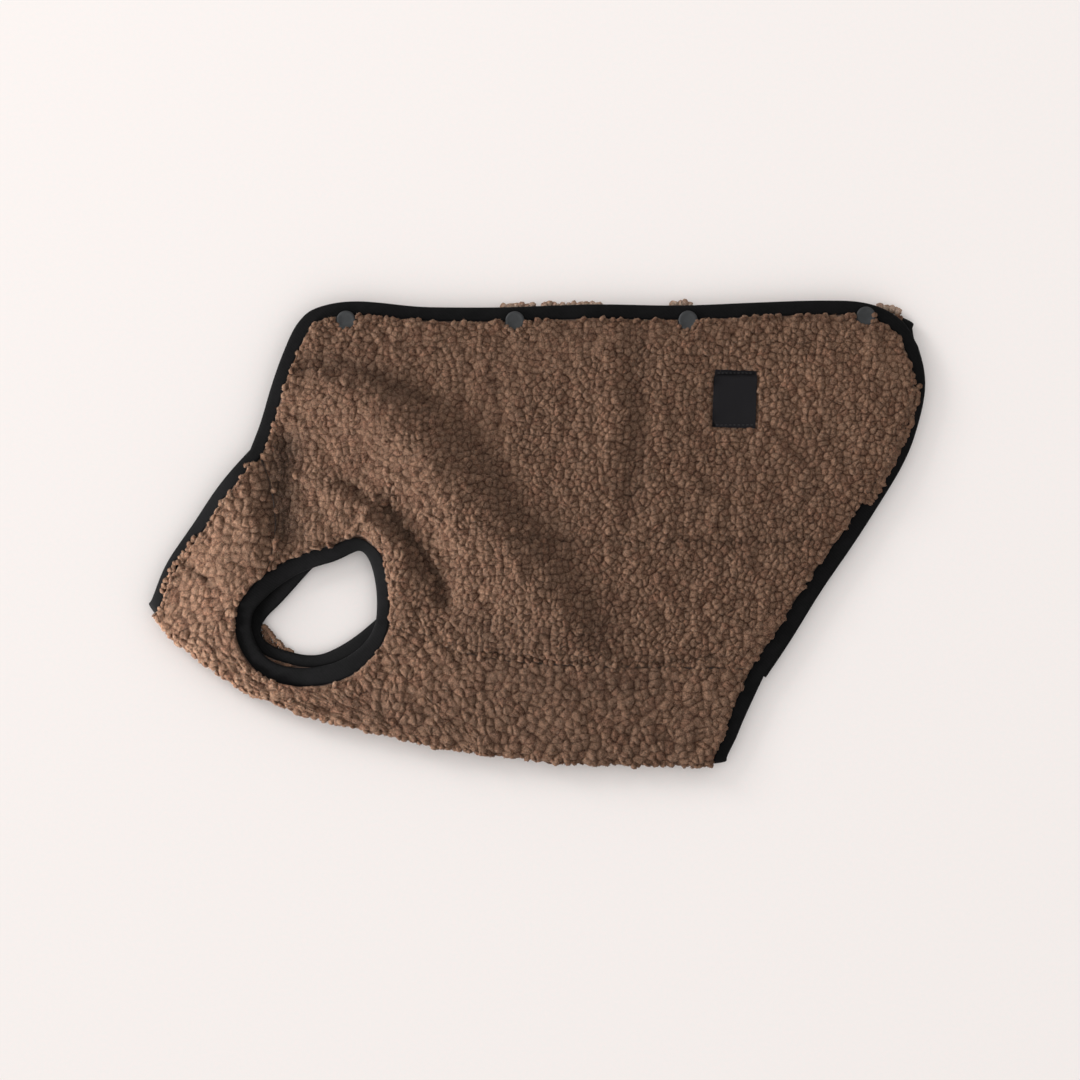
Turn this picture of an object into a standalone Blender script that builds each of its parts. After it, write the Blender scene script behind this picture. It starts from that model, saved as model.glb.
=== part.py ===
"""A dog's winter coat of curly pile fleece with black edge tape, lying flat on its right side.

The neck is towards -X, the hem towards +X, the back towards +Y and the left side faces up (+Z).
A belly panel is folded along its middle and joins the two side panels at a seam on each side. The
right side turns over at the back and ends in a placket under the left side's edge, closed by snaps.
Plan sizes and heights are in millimetres, and are scaled to metres as each mesh is made.
"""

import math
from collections import namedtuple

import bmesh
import bpy
import numpy as np

MM = 0.001

# Cloth: a knit backing with its pile, thinner where it is pressed.
PILE_WALL = 6.0  # backing and pile together
SEAM_WALL = 4.4  # the pile beside a seam
SHOULDER_WALL = 5.4  # the pile's edge beside a tape
PLACKET_WALL = 3.6  # pressed flat under the closure
BACK_FOLD_WALL = 4.0  # the lower layer where it turns over at the back
CLEARANCE = 0.3  # between pieces that touch
LAYER_GAP = 0.6  # between the inner faces of the two layers
PLACKET_GAP = 0.6  # between the inner faces inside the back fold

# Edge tape, folded round the cloth's edge; heights are measured out from the cloth's inner face.
TAPE_THICK = 0.8
TONGUE_THICK = 1.6  # the cloth's edge, squeezed inside the tape
TONGUE_LOW = TAPE_THICK + CLEARANCE
TONGUE_HIGH = TONGUE_LOW + TONGUE_THICK
TAPE_HIGH = TONGUE_HIGH + CLEARANCE + TAPE_THICK
TAPE_ROUND = 1.1  # how far in the tape's folded edge is rounded
TONGUE_STOP = TAPE_THICK + 0.4 + CLEARANCE  # from the tape's folded edge to the cloth's cut edge

# Back closure.
PLACKET_REACH = 19.0  # from the back fold's line to the placket's tape
PLACKET_TAPE = 8.0
CLOSURE_HEIGHT = 8.8  # the upper layer's inner face over the placket
SNAP_CAP_RADIUS = 6.2
SNAP_CAP_THICK = 1.7
SNAP_DISC_RADIUS = 5.2
SNAP_DISC_THICK = 2.0
SNAP_SIDES = 20

# Woven label.
LABEL_CENTRE = (128.4, 87.8)
LABEL_SIZE = (28.0, 37.0)
LABEL_THICK = 0.8
LABEL_TURN = math.radians(-2.0)
LABEL_PRESS = 1.3  # how far the label presses the pile down
LABEL_CELLS = (4, 6)

# Mesh stations along each stretch, and rows across the cloth.
SEAM_1_STEPS = 5
SEAM_2_STEPS = 21
ARM_TOP_STEPS = 15
ARM_LOW_STEPS = 18
NECK_STEPS = 11
SIDE_ROWS = SEAM_1_STEPS + NECK_STEPS
BELLY_ROWS = 6
UNDER_NECK_STEPS = 6
UNDER_ROWS = SEAM_1_STEPS + UNDER_NECK_STEPS
FOLD_STEPS = 4
PLACKET_ROWS = 2
FOLD_TURN_IN = 6.5  # where an edge's stations stop short of a fold that its tape goes round

Edge = namedtuple("Edge", "x y tape")
Place = namedtuple("Place", "x y")
Fold = namedtuple("Fold", "name path rise left right")
Run = namedtuple("Run", "place across tape")

# Edges of the upper layer, clockwise seen from above, with the tape's width.
CHEST_NECK = (
    Edge(-253.6, -46.0, 8.0),
    Edge(-250.6, -36.6, 8.0),
    Edge(-241.6, -20.6, 8.0),
    Edge(-221.0, 8.2, 8.0),
    Edge(-206.4, 31.0, 8.2),
    Edge(-184.9, 55.0, 8.6),
)
SIDE_EDGE = (
    Edge(-184.9, 55.0, 8.6),
    Edge(-178.4, 72.0, 8.6),
    Edge(-171.6, 95.0, 8.6),
    Edge(-162.5, 120.2, 8.8),
    Edge(-155.4, 135.5, 9.0),
    Edge(-147.0, 145.0, 9.0),
    Edge(-135.5, 148.9, 9.0),
    Edge(-68.9, 147.3, 9.0),
    Edge(-23.4, 147.2, 9.2),
    Edge(38.4, 149.2, 9.4),
    Edge(93.6, 148.4, 9.4),
    Edge(144.3, 150.4, 9.4),
    Edge(187.2, 151.6, 9.4),
    Edge(212.0, 150.6, 9.2),
    Edge(228.5, 145.2, 9.0),
    Edge(239.6, 136.0, 9.0),
    Edge(247.0, 122.0, 8.6),
    Edge(251.8, 107.0, 8.0),
    Edge(252.6, 94.0, 8.0),
    Edge(249.6, 80.0, 8.4),
    Edge(243.5, 58.0, 9.0),
    Edge(221.0, 18.0, 10.0),
    Edge(203.5, -9.1, 10.6),
    Edge(184.0, -37.1, 11.2),
    Edge(167.1, -65.0, 11.5),
    Edge(148.9, -92.3, 11.5),
)
NECK_CORNER, HEM_CORNER = 5, 15  # rows of SIDE_EDGE in the middle of its two rounded corners
HEM_JOIN = 0  # rows below the hem corner's where the tape along the back ends and the hem's begins
BELLY_HEM = (
    Edge(147.4, -91.5, 9.8),
    Edge(139.1, -109.5, 9.8),
    Edge(132.4, -125.0, 9.4),
    Edge(128.2, -138.0, 9.0),
    Edge(124.2, -149.4, 8.6),
)
BELLY_FOLD = (
    Place(124.2, -149.4),
    Place(112.0, -151.2),
    Place(87.1, -151.2),
    Place(35.1, -150.2),
    Place(-16.9, -146.0),
    Place(-68.9, -137.8),
    Place(-120.9, -125.6),
    Place(-163.0, -114.0),
    Place(-190.0, -102.6),
    Place(-215.0, -85.6),
    Place(-238.5, -65.8),
    Place(-253.6, -46.0),
)

# Edges of the lower layer, which stay just inside those above except at the top of the hem.
UNDER_INSET = 1.0
UNDER_NECK = (
    Edge(-184.2, 54.6, 9.0),
    Edge(-177.2, 72.0, 9.0),
    Edge(-170.6, 95.0, 9.0),
    Edge(-160.8, 119.0, 9.0),
    Edge(-141.7, 145.0, 9.0),
)
UNDER_HEM = (
    Edge(245.6, 137.6, 9.0),
    Edge(248.2, 123.5, 9.0),
    Edge(251.0, 108.0, 9.0),
    Edge(251.4, 94.0, 9.0),
    Edge(248.4, 80.0, 9.0),
    Edge(242.3, 58.0, 9.0),
    Edge(219.8, 18.4, 10.0),
    Edge(202.3, -8.5, 10.6),
    Edge(182.7, -36.4, 11.2),
    Edge(165.8, -64.4, 11.5),
    Edge(147.7, -91.7, 11.5),
)
BACK_FOLD = (
    Place(-141.7, 145.0),
    Place(-120.0, 146.8),
    Place(-68.9, 145.6),
    Place(-23.4, 146.0),
    Place(38.4, 147.6),
    Place(93.6, 147.0),
    Place(145.6, 148.9),
    Place(191.1, 149.6),
    Place(217.1, 148.0),
    Place(234.0, 143.6),
    Place(245.6, 137.6),
)

# Leg openings, anticlockwise from the seam behind the leg, round the open edge.
ARMHOLE = (
    Edge(-103.6, -56.6, 8.6),
    Edge(-102.9, -42.3, 8.0),
    Edge(-104.4, -28.0, 8.0),
    Edge(-107.3, -17.6, 8.6),
    Edge(-112.4, -9.4, 9.5),
    Edge(-119.8, -12.2, 9.5),
    Edge(-129.4, -17.0, 10.4),
    Edge(-141.7, -20.4, 10.8),
    Edge(-153.4, -24.9, 11.2),
    Edge(-165.8, -32.6, 11.6),
    Edge(-176.4, -41.9, 11.0),
    Edge(-183.4, -50.0, 10.4),
    Edge(-184.5, -59.2, 10.4),
    Edge(-181.6, -69.4, 10.4),
    Edge(-176.2, -78.0, 10.4),
    Edge(-168.0, -83.4, 11.4),
    Edge(-156.7, -85.8, 12.0),
    Edge(-141.7, -85.5, 12.0),
    Edge(-127.4, -81.6, 12.0),
    Edge(-116.4, -75.1, 11.0),
    Edge(-108.2, -66.8, 9.6),
    Edge(-103.6, -56.6, 8.6),
)
ARMHOLE_FRONT = 9  # the row where the seam in front of the leg meets the opening
UNDER_ARMHOLE = (
    Edge(-94.3, -46.2, 9.0),
    Edge(-89.1, -29.3, 9.0),
    Edge(-89.7, -9.8, 9.0),
    Edge(-99.4, 2.6, 9.0),
    Edge(-119.0, -3.6, 10.0),
    Edge(-133.9, -12.4, 10.5),
    Edge(-145.0, -21.5, 10.5),
    Edge(-155.4, -33.2, 10.5),
    Edge(-166.4, -45.2, 10.5),
    Edge(-177.0, -56.4, 9.6),
    Edge(-179.4, -64.2, 8.4),
    Edge(-171.6, -71.6, 7.6),
    Edge(-160.6, -75.4, 7.6),
    Edge(-148.4, -78.0, 7.8),
    Edge(-138.6, -77.4, 8.0),
    Edge(-130.7, -74.0, 8.2),
    Edge(-119.4, -67.4, 8.6),
    Edge(-106.0, -56.6, 9.0),
    Edge(-94.3, -46.2, 9.0),
)
UNDER_ARMHOLE_FRONT = 8

# Seams, from the neck to the leg opening and from there to the hem: the points between their ends.
SEAM_1 = (Place(-172.0, 34.0), Place(-168.0, 8.0))
SEAM_2 = (Place(-40.0, -77.5), Place(40.0, -84.8), Place(96.0, -86.0))
UNDER_SEAM_2 = (Place(-40.0, -72.0), Place(40.0, -82.0), Place(96.0, -85.0))

# How the grid's columns spread along the back and the belly fold: column and share of the length.
Stop = namedtuple("Stop", "column share")
SIDE_SPREAD = (Stop(0, 0.0), Stop(ARM_TOP_STEPS, 0.34), Stop(ARM_TOP_STEPS + SEAM_2_STEPS, 1.0))
BELLY_SPREAD = (
    Stop(0, 0.0),
    Stop(5, 0.055),
    Stop(9, 0.13),
    Stop(13, 0.235),
    Stop(17, 0.345),
    Stop(23, 0.48),
    Stop(23 + SEAM_2_STEPS, 1.0),
)

# Folds in the upper layer: where their crests run, how high they rise (a crease is negative) and how
# far they reach to the left and to the right of the way they run, in millimetres.
FOLDS = (
    Fold("body loft", ((-40, 20), (40, 24), (110, 20)), 2.0, 105, 120),
    Fold("shoulder ridge",
         ((-156, 96), (-124, 96), (-88, 73), (-56, 38), (-25, -2), (13, -42), (44, -72)), 10.0, 32, 46),
    Fold("leg crown", ((-136, 20), (-114, 18), (-98, 5), (-88, -20), (-85, -48)), 8.0, 28, 14),
    Fold("leg crease", ((-132, 36), (-104, 24), (-78, -2), (-58, -32), (-56, -56)), -5.5, 15, 16),
    Fold("seam hollow", ((-146, 50), (-145, 20), (-152, -2)), -3.6, 20, 20),
    Fold("chest swell", ((-186, 47), (-183, 14), (-192, -20), (-203, -56)), 7.0, 36, 38),
    Fold("back ridge", ((46, 138), (49, 92), (47, 40)), 3.0, 26, 24),
    Fold("storage crease", ((18, -2), (98, -4), (175, -6)), -1.8, 14, 12),
    Fold("belly ripple", ((-2, -96), (26, -122), (30, -140)), 1.8, 18, 20),
    Fold("hem ripple", ((196, 96), (214, 60), (206, 24)), 1.6, 24, 20),
)
FOLD_TAPER = 4  # how sharply a fold's height falls off at its ends

PILE_BROWN = (0.148, 0.082, 0.055, 1.0)
TAPE_BLACK = (0.0115, 0.0112, 0.0125, 1.0)
LABEL_BLACK = (0.0135, 0.0130, 0.0150, 1.0)
SNAP_GREY = (0.064, 0.066, 0.072, 1.0)


# ---- Lines in plan ----


def smooth(rows, samples=40):
    """A dense smooth line through the rows, and how far along it each row lies."""
    rows = np.array(rows, float)
    step = np.linalg.norm(np.diff(rows[:, :2], axis=0), axis=1)[:, None]
    slope = np.diff(rows, axis=0) / step
    inner = (slope[:-1] * step[1:] + slope[1:] * step[:-1]) / (step[:-1] + step[1:])
    first, last = 1.5 * slope[0] - 0.5 * inner[0], 1.5 * slope[-1] - 0.5 * inner[-1]
    slope = np.vstack([first, inner, last])
    t = np.linspace(0, 1, samples, endpoint=False)[:, None]
    line = []
    for k, (a, b) in enumerate(zip(rows[:-1], rows[1:])):
        ends = a * (2 * t**3 - 3 * t**2 + 1) + b * (3 * t**2 - 2 * t**3)
        line.append(ends + (slope[k] * (t**3 - 2 * t**2 + t) + slope[k + 1] * (t**3 - t**2)) * step[k])
    line = np.vstack(line + [rows[-1:]])
    along = np.concatenate([[0], np.cumsum(np.linalg.norm(np.diff(line[:, :2], axis=0), axis=1))])
    return line, along, along[::samples]


def at_lengths(line, along, lengths):
    """Points of a dense line at these lengths along it."""
    return np.stack([np.interp(lengths, along, line[:, k]) for k in range(line.shape[1])], axis=1)


def across_from(line, along, lengths, near=0.8):
    """Unit directions in plan to the right of the way a line runs."""
    step = at_lengths(line, along, lengths + near) - at_lengths(line, along, lengths - near)
    step = step[:, :2] / np.linalg.norm(step[:, :2], axis=1)[:, None]
    return np.stack([step[:, 1], -step[:, 0]], axis=1)


def run(rows, steps, first=0, last=-1, skip=0.0, stop=0.0, shares=None):
    """Even stations from one row of an edge to another, leaving out skip and stop millimetres."""
    line, along, at_row = smooth(rows)
    start, end = at_row[first] + skip, at_row[last] - stop
    lengths = start + (end - start) * (np.linspace(0, 1, steps + 1) if shares is None else shares)
    points = at_lengths(line, along, lengths)
    tape = points[:, 2] if points.shape[1] > 2 else np.zeros(len(points))
    return Run(points[:, :2], across_from(line, along, lengths), tape)


def reversed_run(one):
    return Run(one.place[::-1], one.across[::-1], one.tape[::-1])


def shoulder(one):
    """The line where the pile ends, beside the tape's inner edge."""
    return one.place + one.across * (one.tape + CLEARANCE)[:, None]


def seam(start, between, end, steps, shift):
    """Even stations along a seam, moved sideways by half the gap between the two panels."""
    line, along, _ = smooth([tuple(start), *between, tuple(end)])
    lengths = np.linspace(0, along[-1], steps + 1)
    return at_lengths(line, along, lengths) + across_from(line, along, lengths) * shift


def spread(stops):
    """Shares of an edge's length for every column, even between the given stops."""
    columns, shares = zip(*stops)
    return np.interp(np.arange(columns[-1] + 1), columns, shares)


def length_shares(line):
    """How far along a line each of its points lies, as shares of its whole length."""
    along = np.concatenate([[0], np.cumsum(np.linalg.norm(np.diff(line, axis=0), axis=1))])
    return along / along[-1]


def patch(low, high, left, right):
    """A grid of plan points between four edges: low and high by column, left and right by row."""
    u = (length_shares(low) + length_shares(high))[:, None] / 2
    near, far = (1 - u) ** 2, u**2  # how much a column keeps of the shape of either side
    left_v, right_v = length_shares(left)[None], length_shares(right)[None]
    v = near * left_v + far * right_v + (1 - near - far) * np.linspace(0, 1, len(left))[None]
    grid = (1 - v)[..., None] * low[:, None] + v[..., None] * high[:, None]
    for share, side, side_v, k in ((near, left, left_v, 0), (far, right, right_v, -1)):
        chord = (1 - side_v[0])[:, None] * low[k] + side_v[0][:, None] * high[k]
        grid = grid + share[..., None] * (side - chord)[None]
    return grid


# ---- Heights ----


def ease(x):
    x = np.clip(x, 0, 1)
    return x * x * (3 - 2 * x)


FOLD_LINES = [smooth(fold.path) for fold in FOLDS]


def relief(plan):
    """How far the folds lift the upper layer at a plan point."""
    height = 0.0
    for fold, (line, along, _) in zip(FOLDS, FOLD_LINES):
        away = plan - line
        nearest = int((away**2).sum(1).argmin())
        ahead = line[min(nearest + 1, len(line) - 1)] - line[max(nearest - 1, 0)]
        side = ahead[0] * away[nearest][1] - ahead[1] * away[nearest][0]
        reach = fold.left if side > 0 else fold.right
        distance = math.hypot(*away[nearest])
        share = 2 * along[nearest] / along[-1] - 1
        bell = 0.5 + 0.5 * math.cos(math.pi * min(distance / reach, 1))
        height += fold.rise * bell * (1 - 0.75 * abs(share) ** FOLD_TAPER)
    return max(height, 0.0)


BACK_LINE = smooth(BACK_FOLD)[0]
BELLY_LINE = smooth(BELLY_FOLD)[0]


def below_back(plan):
    """How far a plan point is from the back fold's edge."""
    return float(np.interp(plan[0], BACK_LINE[:, 0], BACK_LINE[:, 1]) - plan[1])


def belly_calm(plan):
    """0 at the belly fold, where the cloth lies without folds, rising to 1 a little way in."""
    return float(ease((np.sqrt(((BELLY_LINE - plan) ** 2).sum(1).min()) - 5) / 22))


def lower_bed(plan):
    """Height of the lower layer's inner face, over its flat underside."""
    return PILE_WALL - (PILE_WALL - BACK_FOLD_WALL) * float(ease((64 - below_back(plan)) / 30))


def placket_bed(plan):
    """Height of the placket's inner face, which is turned down onto the lower layer."""
    return lower_bed(plan) + PLACKET_GAP


def upper_bed(plan):
    """Height of the upper layer's inner face."""
    rest = PILE_WALL + LAYER_GAP
    closure = (CLOSURE_HEIGHT - rest) * float(ease((58 - below_back(plan)) / 30))
    calm = float(ease((below_back(plan) - 8) / 40)) * belly_calm(plan)
    return rest + closure + relief(plan) * calm


def upper_wall(plan):
    """Thickness of the upper layer, pressed down round the label."""
    cos, sin = math.cos(LABEL_TURN), math.sin(LABEL_TURN)
    turn = np.array([[cos, sin], [-sin, cos]])
    off = np.abs(turn @ (plan - np.array(LABEL_CENTRE))) - np.array(LABEL_SIZE) / 2
    return PILE_WALL - LABEL_PRESS * float(ease((14 - np.maximum(off, 0).max()) / 12))


# ---- Solids ----


def material(name, colour, roughness):
    made = bpy.data.materials.new(name)
    made.use_nodes = True
    shader = made.node_tree.nodes["Principled BSDF"]
    shader.inputs["Base Color"].default_value = colour
    shader.inputs["Roughness"].default_value = roughness
    shader.inputs["Metallic"].default_value = 0.0
    made.diffuse_color = colour
    return made


def add_object(name, points, faces, finish):
    """A closed solid from points in millimetres and faces of any turn."""
    mesh = bpy.data.meshes.new(name)
    mesh.from_pydata([tuple(np.array(p) * MM) for p in points], [], faces)
    shape = bmesh.new()
    shape.from_mesh(mesh)
    bmesh.ops.recalc_face_normals(shape, faces=shape.faces)
    if shape.calc_volume(signed=True) < 0:
        bmesh.ops.reverse_faces(shape, faces=shape.faces)
    shape.to_mesh(mesh)
    shape.free()
    mesh.materials.append(finish)
    mesh.shade_smooth()
    mesh.set_sharp_from_angle(angle=math.radians(40))
    made = bpy.data.objects.new(name, mesh)
    bpy.context.scene.collection.objects.link(made)
    return made


class Cloth:
    """A wall of cloth on a grid of plan points, turned over a fold where turn goes from 0 to pi.

    plan is column by row by (x, y); turn is a value for each row; out is a plan direction for each
    column, which the fold bulges towards; wall is the thickness at each point. A bound edge has, at
    each of its grid points, the direction towards the edge and how far off the tape's edge lies.
    """

    def __init__(self, plan, turn, out, wall, top_bed, low_bed):
        self.plan, self.turn, self.out, self.wall = plan, turn, out, wall
        self.top_bed, self.low_bed = top_bed, low_bed
        self.columns, self.rows = plan.shape[0], plan.shape[1]
        self.edge = {}

    def lift(self, column, row, away, towards=(0.0, 0.0)):
        """The point `away` outside the inner face, moved sideways in plan."""
        plan = self.plan[column, row] + np.array(towards)
        top, low = self.top_bed(plan), self.low_bed(plan)
        radius = (top - low) / 2
        bulge = self.out[column] * (radius + away) * math.sin(self.turn[row])
        height = (top + low) / 2 + (radius + away) * math.cos(self.turn[row])
        return (plan[0] + bulge[0], plan[1] + bulge[1], height)

    def bind(self, spots, towards, reach):
        """Marks grid points as an edge that a tape covers."""
        for spot, direction, far in zip(spots, towards, reach):
            self.edge[spot] = (np.array(direction), float(far))

    def loop(self):
        """The grid points round the border, in order."""
        last_column, last_row = self.columns - 1, self.rows - 1
        return (
            [(i, 0) for i in range(last_column)]
            + [(last_column, j) for j in range(last_row)]
            + [(i, last_row) for i in range(last_column, 0, -1)]
            + [(0, j) for j in range(last_row, 0, -1)]
        )

    def solid(self, name, finish):
        """The closed wall: two faces, a squeezed tongue along each bound edge, and plain seam edges."""
        points, faces, outer, inner, tongue = [], [], {}, {}, {}

        def put(point):
            points.append(point)
            return len(points) - 1

        for i in range(self.columns):
            for j in range(self.rows):
                outer[i, j] = put(self.lift(i, j, self.wall[i, j]))
                inner[i, j] = put(self.lift(i, j, 0.0))
        for spot, (direction, reach) in self.edge.items():
            tip = direction * (reach - TONGUE_STOP)
            heights = (TONGUE_HIGH, TONGUE_LOW)
            tongue[spot] = [put(self.lift(*spot, n)) for n in heights] + [
                put(self.lift(*spot, n, tip)) for n in heights[::-1]
            ]
        for i in range(self.columns - 1):
            for j in range(self.rows - 1):
                square = [(i, j), (i + 1, j), (i + 1, j + 1), (i, j + 1)]
                faces.append([outer[s] for s in square])
                faces.append([inner[s] for s in reversed(square)])
        border = self.loop()
        for a, b in zip(border, border[1:] + border[:1]):
            if a in tongue and b in tongue:
                high_a, low_a, low_tip_a, high_tip_a = tongue[a]
                high_b, low_b, low_tip_b, high_tip_b = tongue[b]
                chain_a = [outer[a], high_a, high_tip_a, low_tip_a, low_a, inner[a]]
                chain_b = [outer[b], high_b, high_tip_b, low_tip_b, low_b, inner[b]]
                for k in range(5):
                    faces += halves(chain_a, chain_b, k, k + 1, (k < 3) == (a < b))
                continue
            down_a = [outer[a], *tongue.get(a, [])[:2], inner[a]]
            down_b = [outer[b], *tongue.get(b, [])[:2], inner[b]]
            faces.append(down_a + down_b[::-1])
            for end in (a, b):
                if end in tongue:
                    faces.append(list(tongue[end]))
        return add_object(name, points, faces, finish)

    def tape(self, name, spots, finish, others=(), closed=False):
        """The tape along a run of bound grid points, and along the runs of other cloths joined on."""
        parts = [(self, spot) for spot in spots] + list(others)
        sections = []
        for k, (cloth, spot) in enumerate(parts):
            direction, reach = cloth.edge[spot]
            trim = np.zeros(2)
            if not closed and k in (0, len(parts) - 1):
                trim = end_trim(parts, k)
            width = reach - CLEARANCE
            profile = (
                (width, TAPE_HIGH),
                (TAPE_ROUND, TAPE_HIGH),
                (0.0, TAPE_HIGH - TAPE_ROUND),
                (0.0, TAPE_ROUND),
                (TAPE_ROUND, 0.0),
                (width, 0.0),
                (width, TAPE_THICK),
                (TAPE_THICK + 0.4, TAPE_THICK),
                (TAPE_THICK + 0.4, TAPE_HIGH - TAPE_THICK),
                (width, TAPE_HIGH - TAPE_THICK),
            )
            sections.append([cloth.lift(*spot, n, direction * (reach - i) + trim) for i, n in profile])
        count, sides = len(sections), len(sections[0])
        points = [p for section in sections for p in section]
        faces = []
        for k in range(count if closed else count - 1):
            after = (k + 1) % count
            here, there = (range(n * sides, (n + 1) * sides) for n in (k, after))
            (cloth_a, a), (cloth_b, b) = parts[k], parts[after]
            forwards = a < b if cloth_a is cloth_b else cloth_b is not self
            for n in range(sides):
                faces += halves(here, there, n, (n + 1) % sides, (n in (0, 6)) == forwards)
        if not closed:
            faces += [list(range(sides)), [(count - 1) * sides + s for s in range(sides)]]
        return add_object(name, points, faces, finish)


def halves(a, b, k, after, falling):
    """Two triangles between stations a and b; tape and tongue are split the same way."""
    if falling:
        return [[a[k], a[after], b[after]], [a[k], b[after], b[k]]]
    return [[a[k], a[after], b[k]], [a[after], b[after], b[k]]]


def end_trim(parts, k):
    """Half a clearance back from a tape's end, so that two tapes stay apart."""
    (cloth, spot), (near_cloth, near_spot) = parts[k], parts[1 if k == 0 else -2]
    here = np.array(cloth.lift(*spot, TAPE_THICK))
    inwards = np.array(near_cloth.lift(*near_spot, TAPE_THICK)) - here
    return inwards[:2] / max(np.linalg.norm(inwards), 1e-6) * CLEARANCE / 2


def column_walls(plan, wall):
    return np.array([[wall(point) for point in column] for column in plan])


def turned_over(flat, over, steps):
    """Row turns for a flat stretch, a fold of so many steps, and a stretch turned right over."""
    between = [math.pi * k / steps for k in range(1, steps)]
    return np.array([0.0] * flat + between + [math.pi] * over)


def blended(first, last):
    """Directions that swing over to the last one, mostly near the end."""
    share = (np.linspace(0, 1, len(first)) ** 2)[:, None]
    swung = (1 - share) * first + share * last
    return swung / np.linalg.norm(swung, axis=1)[:, None]


# ---- The coat's panels ----

Layer = namedtuple("Layer", "side_neck side_hem belly_neck belly_hem arm_top arm_low")


def mitre(one, k, other, m):
    """Gives the stations where two edges meet one shared section."""
    across = one.across[k] + other.across[m]
    across = across / np.linalg.norm(across)
    for edge, at in ((one, k), (other, m)):
        edge.tape[at] /= float(across @ edge.across[at])
        edge.across[at] = across


def share_station(one, k, other, m):
    """Moves one edge's station onto the other's."""
    one.place[k], one.across[k], one.tape[k] = other.place[m], other.across[m], other.tape[m]


def inset(one, shares):
    """The same edge, moved in by shares of the lower layer's inset."""
    return Run(one.place + one.across * UNDER_INSET * shares[:, None], one.across.copy(), one.tape.copy())


def upper_layer():
    """The bound edges of the upper layer, but for the back, which runs between the two corners."""
    layer = Layer(
        run(SIDE_EDGE, NECK_STEPS, 0, NECK_CORNER),
        run(SIDE_EDGE, SIDE_ROWS, HEM_CORNER, -1),
        run(CHEST_NECK, BELLY_ROWS, 0, -1, skip=FOLD_TURN_IN),
        run(BELLY_HEM, BELLY_ROWS, 0, -1, stop=FOLD_TURN_IN),
        run(ARMHOLE, ARM_TOP_STEPS, 0, ARMHOLE_FRONT),
        run(ARMHOLE, ARM_LOW_STEPS, ARMHOLE_FRONT, -1),
    )
    mitre(layer.side_neck, 0, layer.belly_neck, -1)
    mitre(layer.side_hem, -1, layer.belly_hem, 0)
    mitre(layer.arm_low, -1, layer.arm_top, 0)
    return layer


def lower_layer():
    """The bound edges of the lower layer; its side panel's stop short of the back fold."""
    upper, fade = upper_layer(), np.linspace(0, 1, BELLY_ROWS + 1)
    layer = Layer(
        run(UNDER_NECK, UNDER_NECK_STEPS, 0, -1, stop=FOLD_TURN_IN),
        run(UNDER_HEM, UNDER_ROWS, 0, -1, skip=FOLD_TURN_IN),
        inset(upper.belly_neck, fade),
        inset(upper.belly_hem, fade[::-1]),
        run(UNDER_ARMHOLE, ARM_TOP_STEPS, 0, UNDER_ARMHOLE_FRONT),
        run(UNDER_ARMHOLE, ARM_LOW_STEPS, UNDER_ARMHOLE_FRONT, -1),
    )
    share_station(layer.side_neck, 0, layer.belly_neck, -1)
    share_station(layer.side_hem, -1, layer.belly_hem, 0)
    mitre(layer.arm_low, -1, layer.arm_top, 0)
    return layer


def seams(layer, rear_seam, shift):
    """The seam in front of the leg, neck first, and the one behind it, hem last."""
    front_leg, rear_leg = shoulder(layer.arm_low)[0], shoulder(layer.arm_low)[-1]
    neck, hem = shoulder(layer.belly_neck)[-1], shoulder(layer.side_hem)[-1]
    front = seam(neck, SEAM_1, front_leg, SEAM_1_STEPS, shift)
    return front, seam(rear_leg, rear_seam, hem, SEAM_2_STEPS, shift)


def side_patch(layer, rear_seam, back):
    """A side panel's grid: column 0 runs up the front seam and the neck, row 0 along leg and belly."""
    front, rear = seams(layer, rear_seam, -CLEARANCE / 2)
    leg, neck = shoulder(reversed_run(layer.arm_top)), shoulder(layer.side_neck)
    hem = shoulder(reversed_run(layer.side_hem))
    low = np.vstack([front[-1:], leg[1:-1], rear])
    left = np.vstack([front[::-1], neck[1:-1], back[:1]])
    hem[0], hem[-1] = rear[-1], back[-1]
    return patch(low, back, left, hem)


def belly_patch(layer, rear_seam, fold):
    """The belly panel's grid in one layer, from its seam side to the belly fold."""
    front, rear = seams(layer, rear_seam, CLEARANCE / 2)
    neck, hem = shoulder(reversed_run(layer.belly_neck)), shoulder(layer.belly_hem)
    low = np.vstack([front, shoulder(layer.arm_low)[1:-1], rear])
    neck[0], neck[-1], hem[0], hem[-1] = front[0], fold[0], rear[-1], fold[-1]
    return patch(low, fold, neck, hem)


def bound_reach(one):
    return one.tape + CLEARANCE


def bind_run(cloth, spots, one):
    cloth.bind(spots, -one.across, bound_reach(one))


def left_side(finish):
    """The upper layer's side panel, with its leg and belly side at row 0 and the back at its last."""
    layer = upper_layer()
    back = run(SIDE_EDGE, 0, NECK_CORNER, HEM_CORNER, shares=spread(SIDE_SPREAD))
    plan = side_patch(layer, SEAM_2, shoulder(back))
    columns, rows = plan.shape[:2]
    wall = column_walls(plan, upper_wall)
    wall[0, :] = wall[-1, :] = wall[:, -1] = wall[:, 0] = SHOULDER_WALL
    wall[0, 1:SEAM_1_STEPS] = wall[ARM_TOP_STEPS + 1 : -1, 0] = SEAM_WALL
    cloth = Cloth(plan, np.zeros(rows), np.zeros((columns, 2)), wall, upper_bed, upper_bed)
    bind_run(cloth, [(0, SEAM_1_STEPS + k) for k in range(NECK_STEPS + 1)], layer.side_neck)
    bind_run(cloth, [(columns - 1, j) for j in range(rows)], reversed_run(layer.side_hem))
    bind_run(cloth, [(i, rows - 1) for i in range(columns)], back)
    bind_run(cloth, [(k, 0) for k in range(ARM_TOP_STEPS + 1)], reversed_run(layer.arm_top))
    cloth.solid("side_left", finish)
    return cloth


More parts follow.
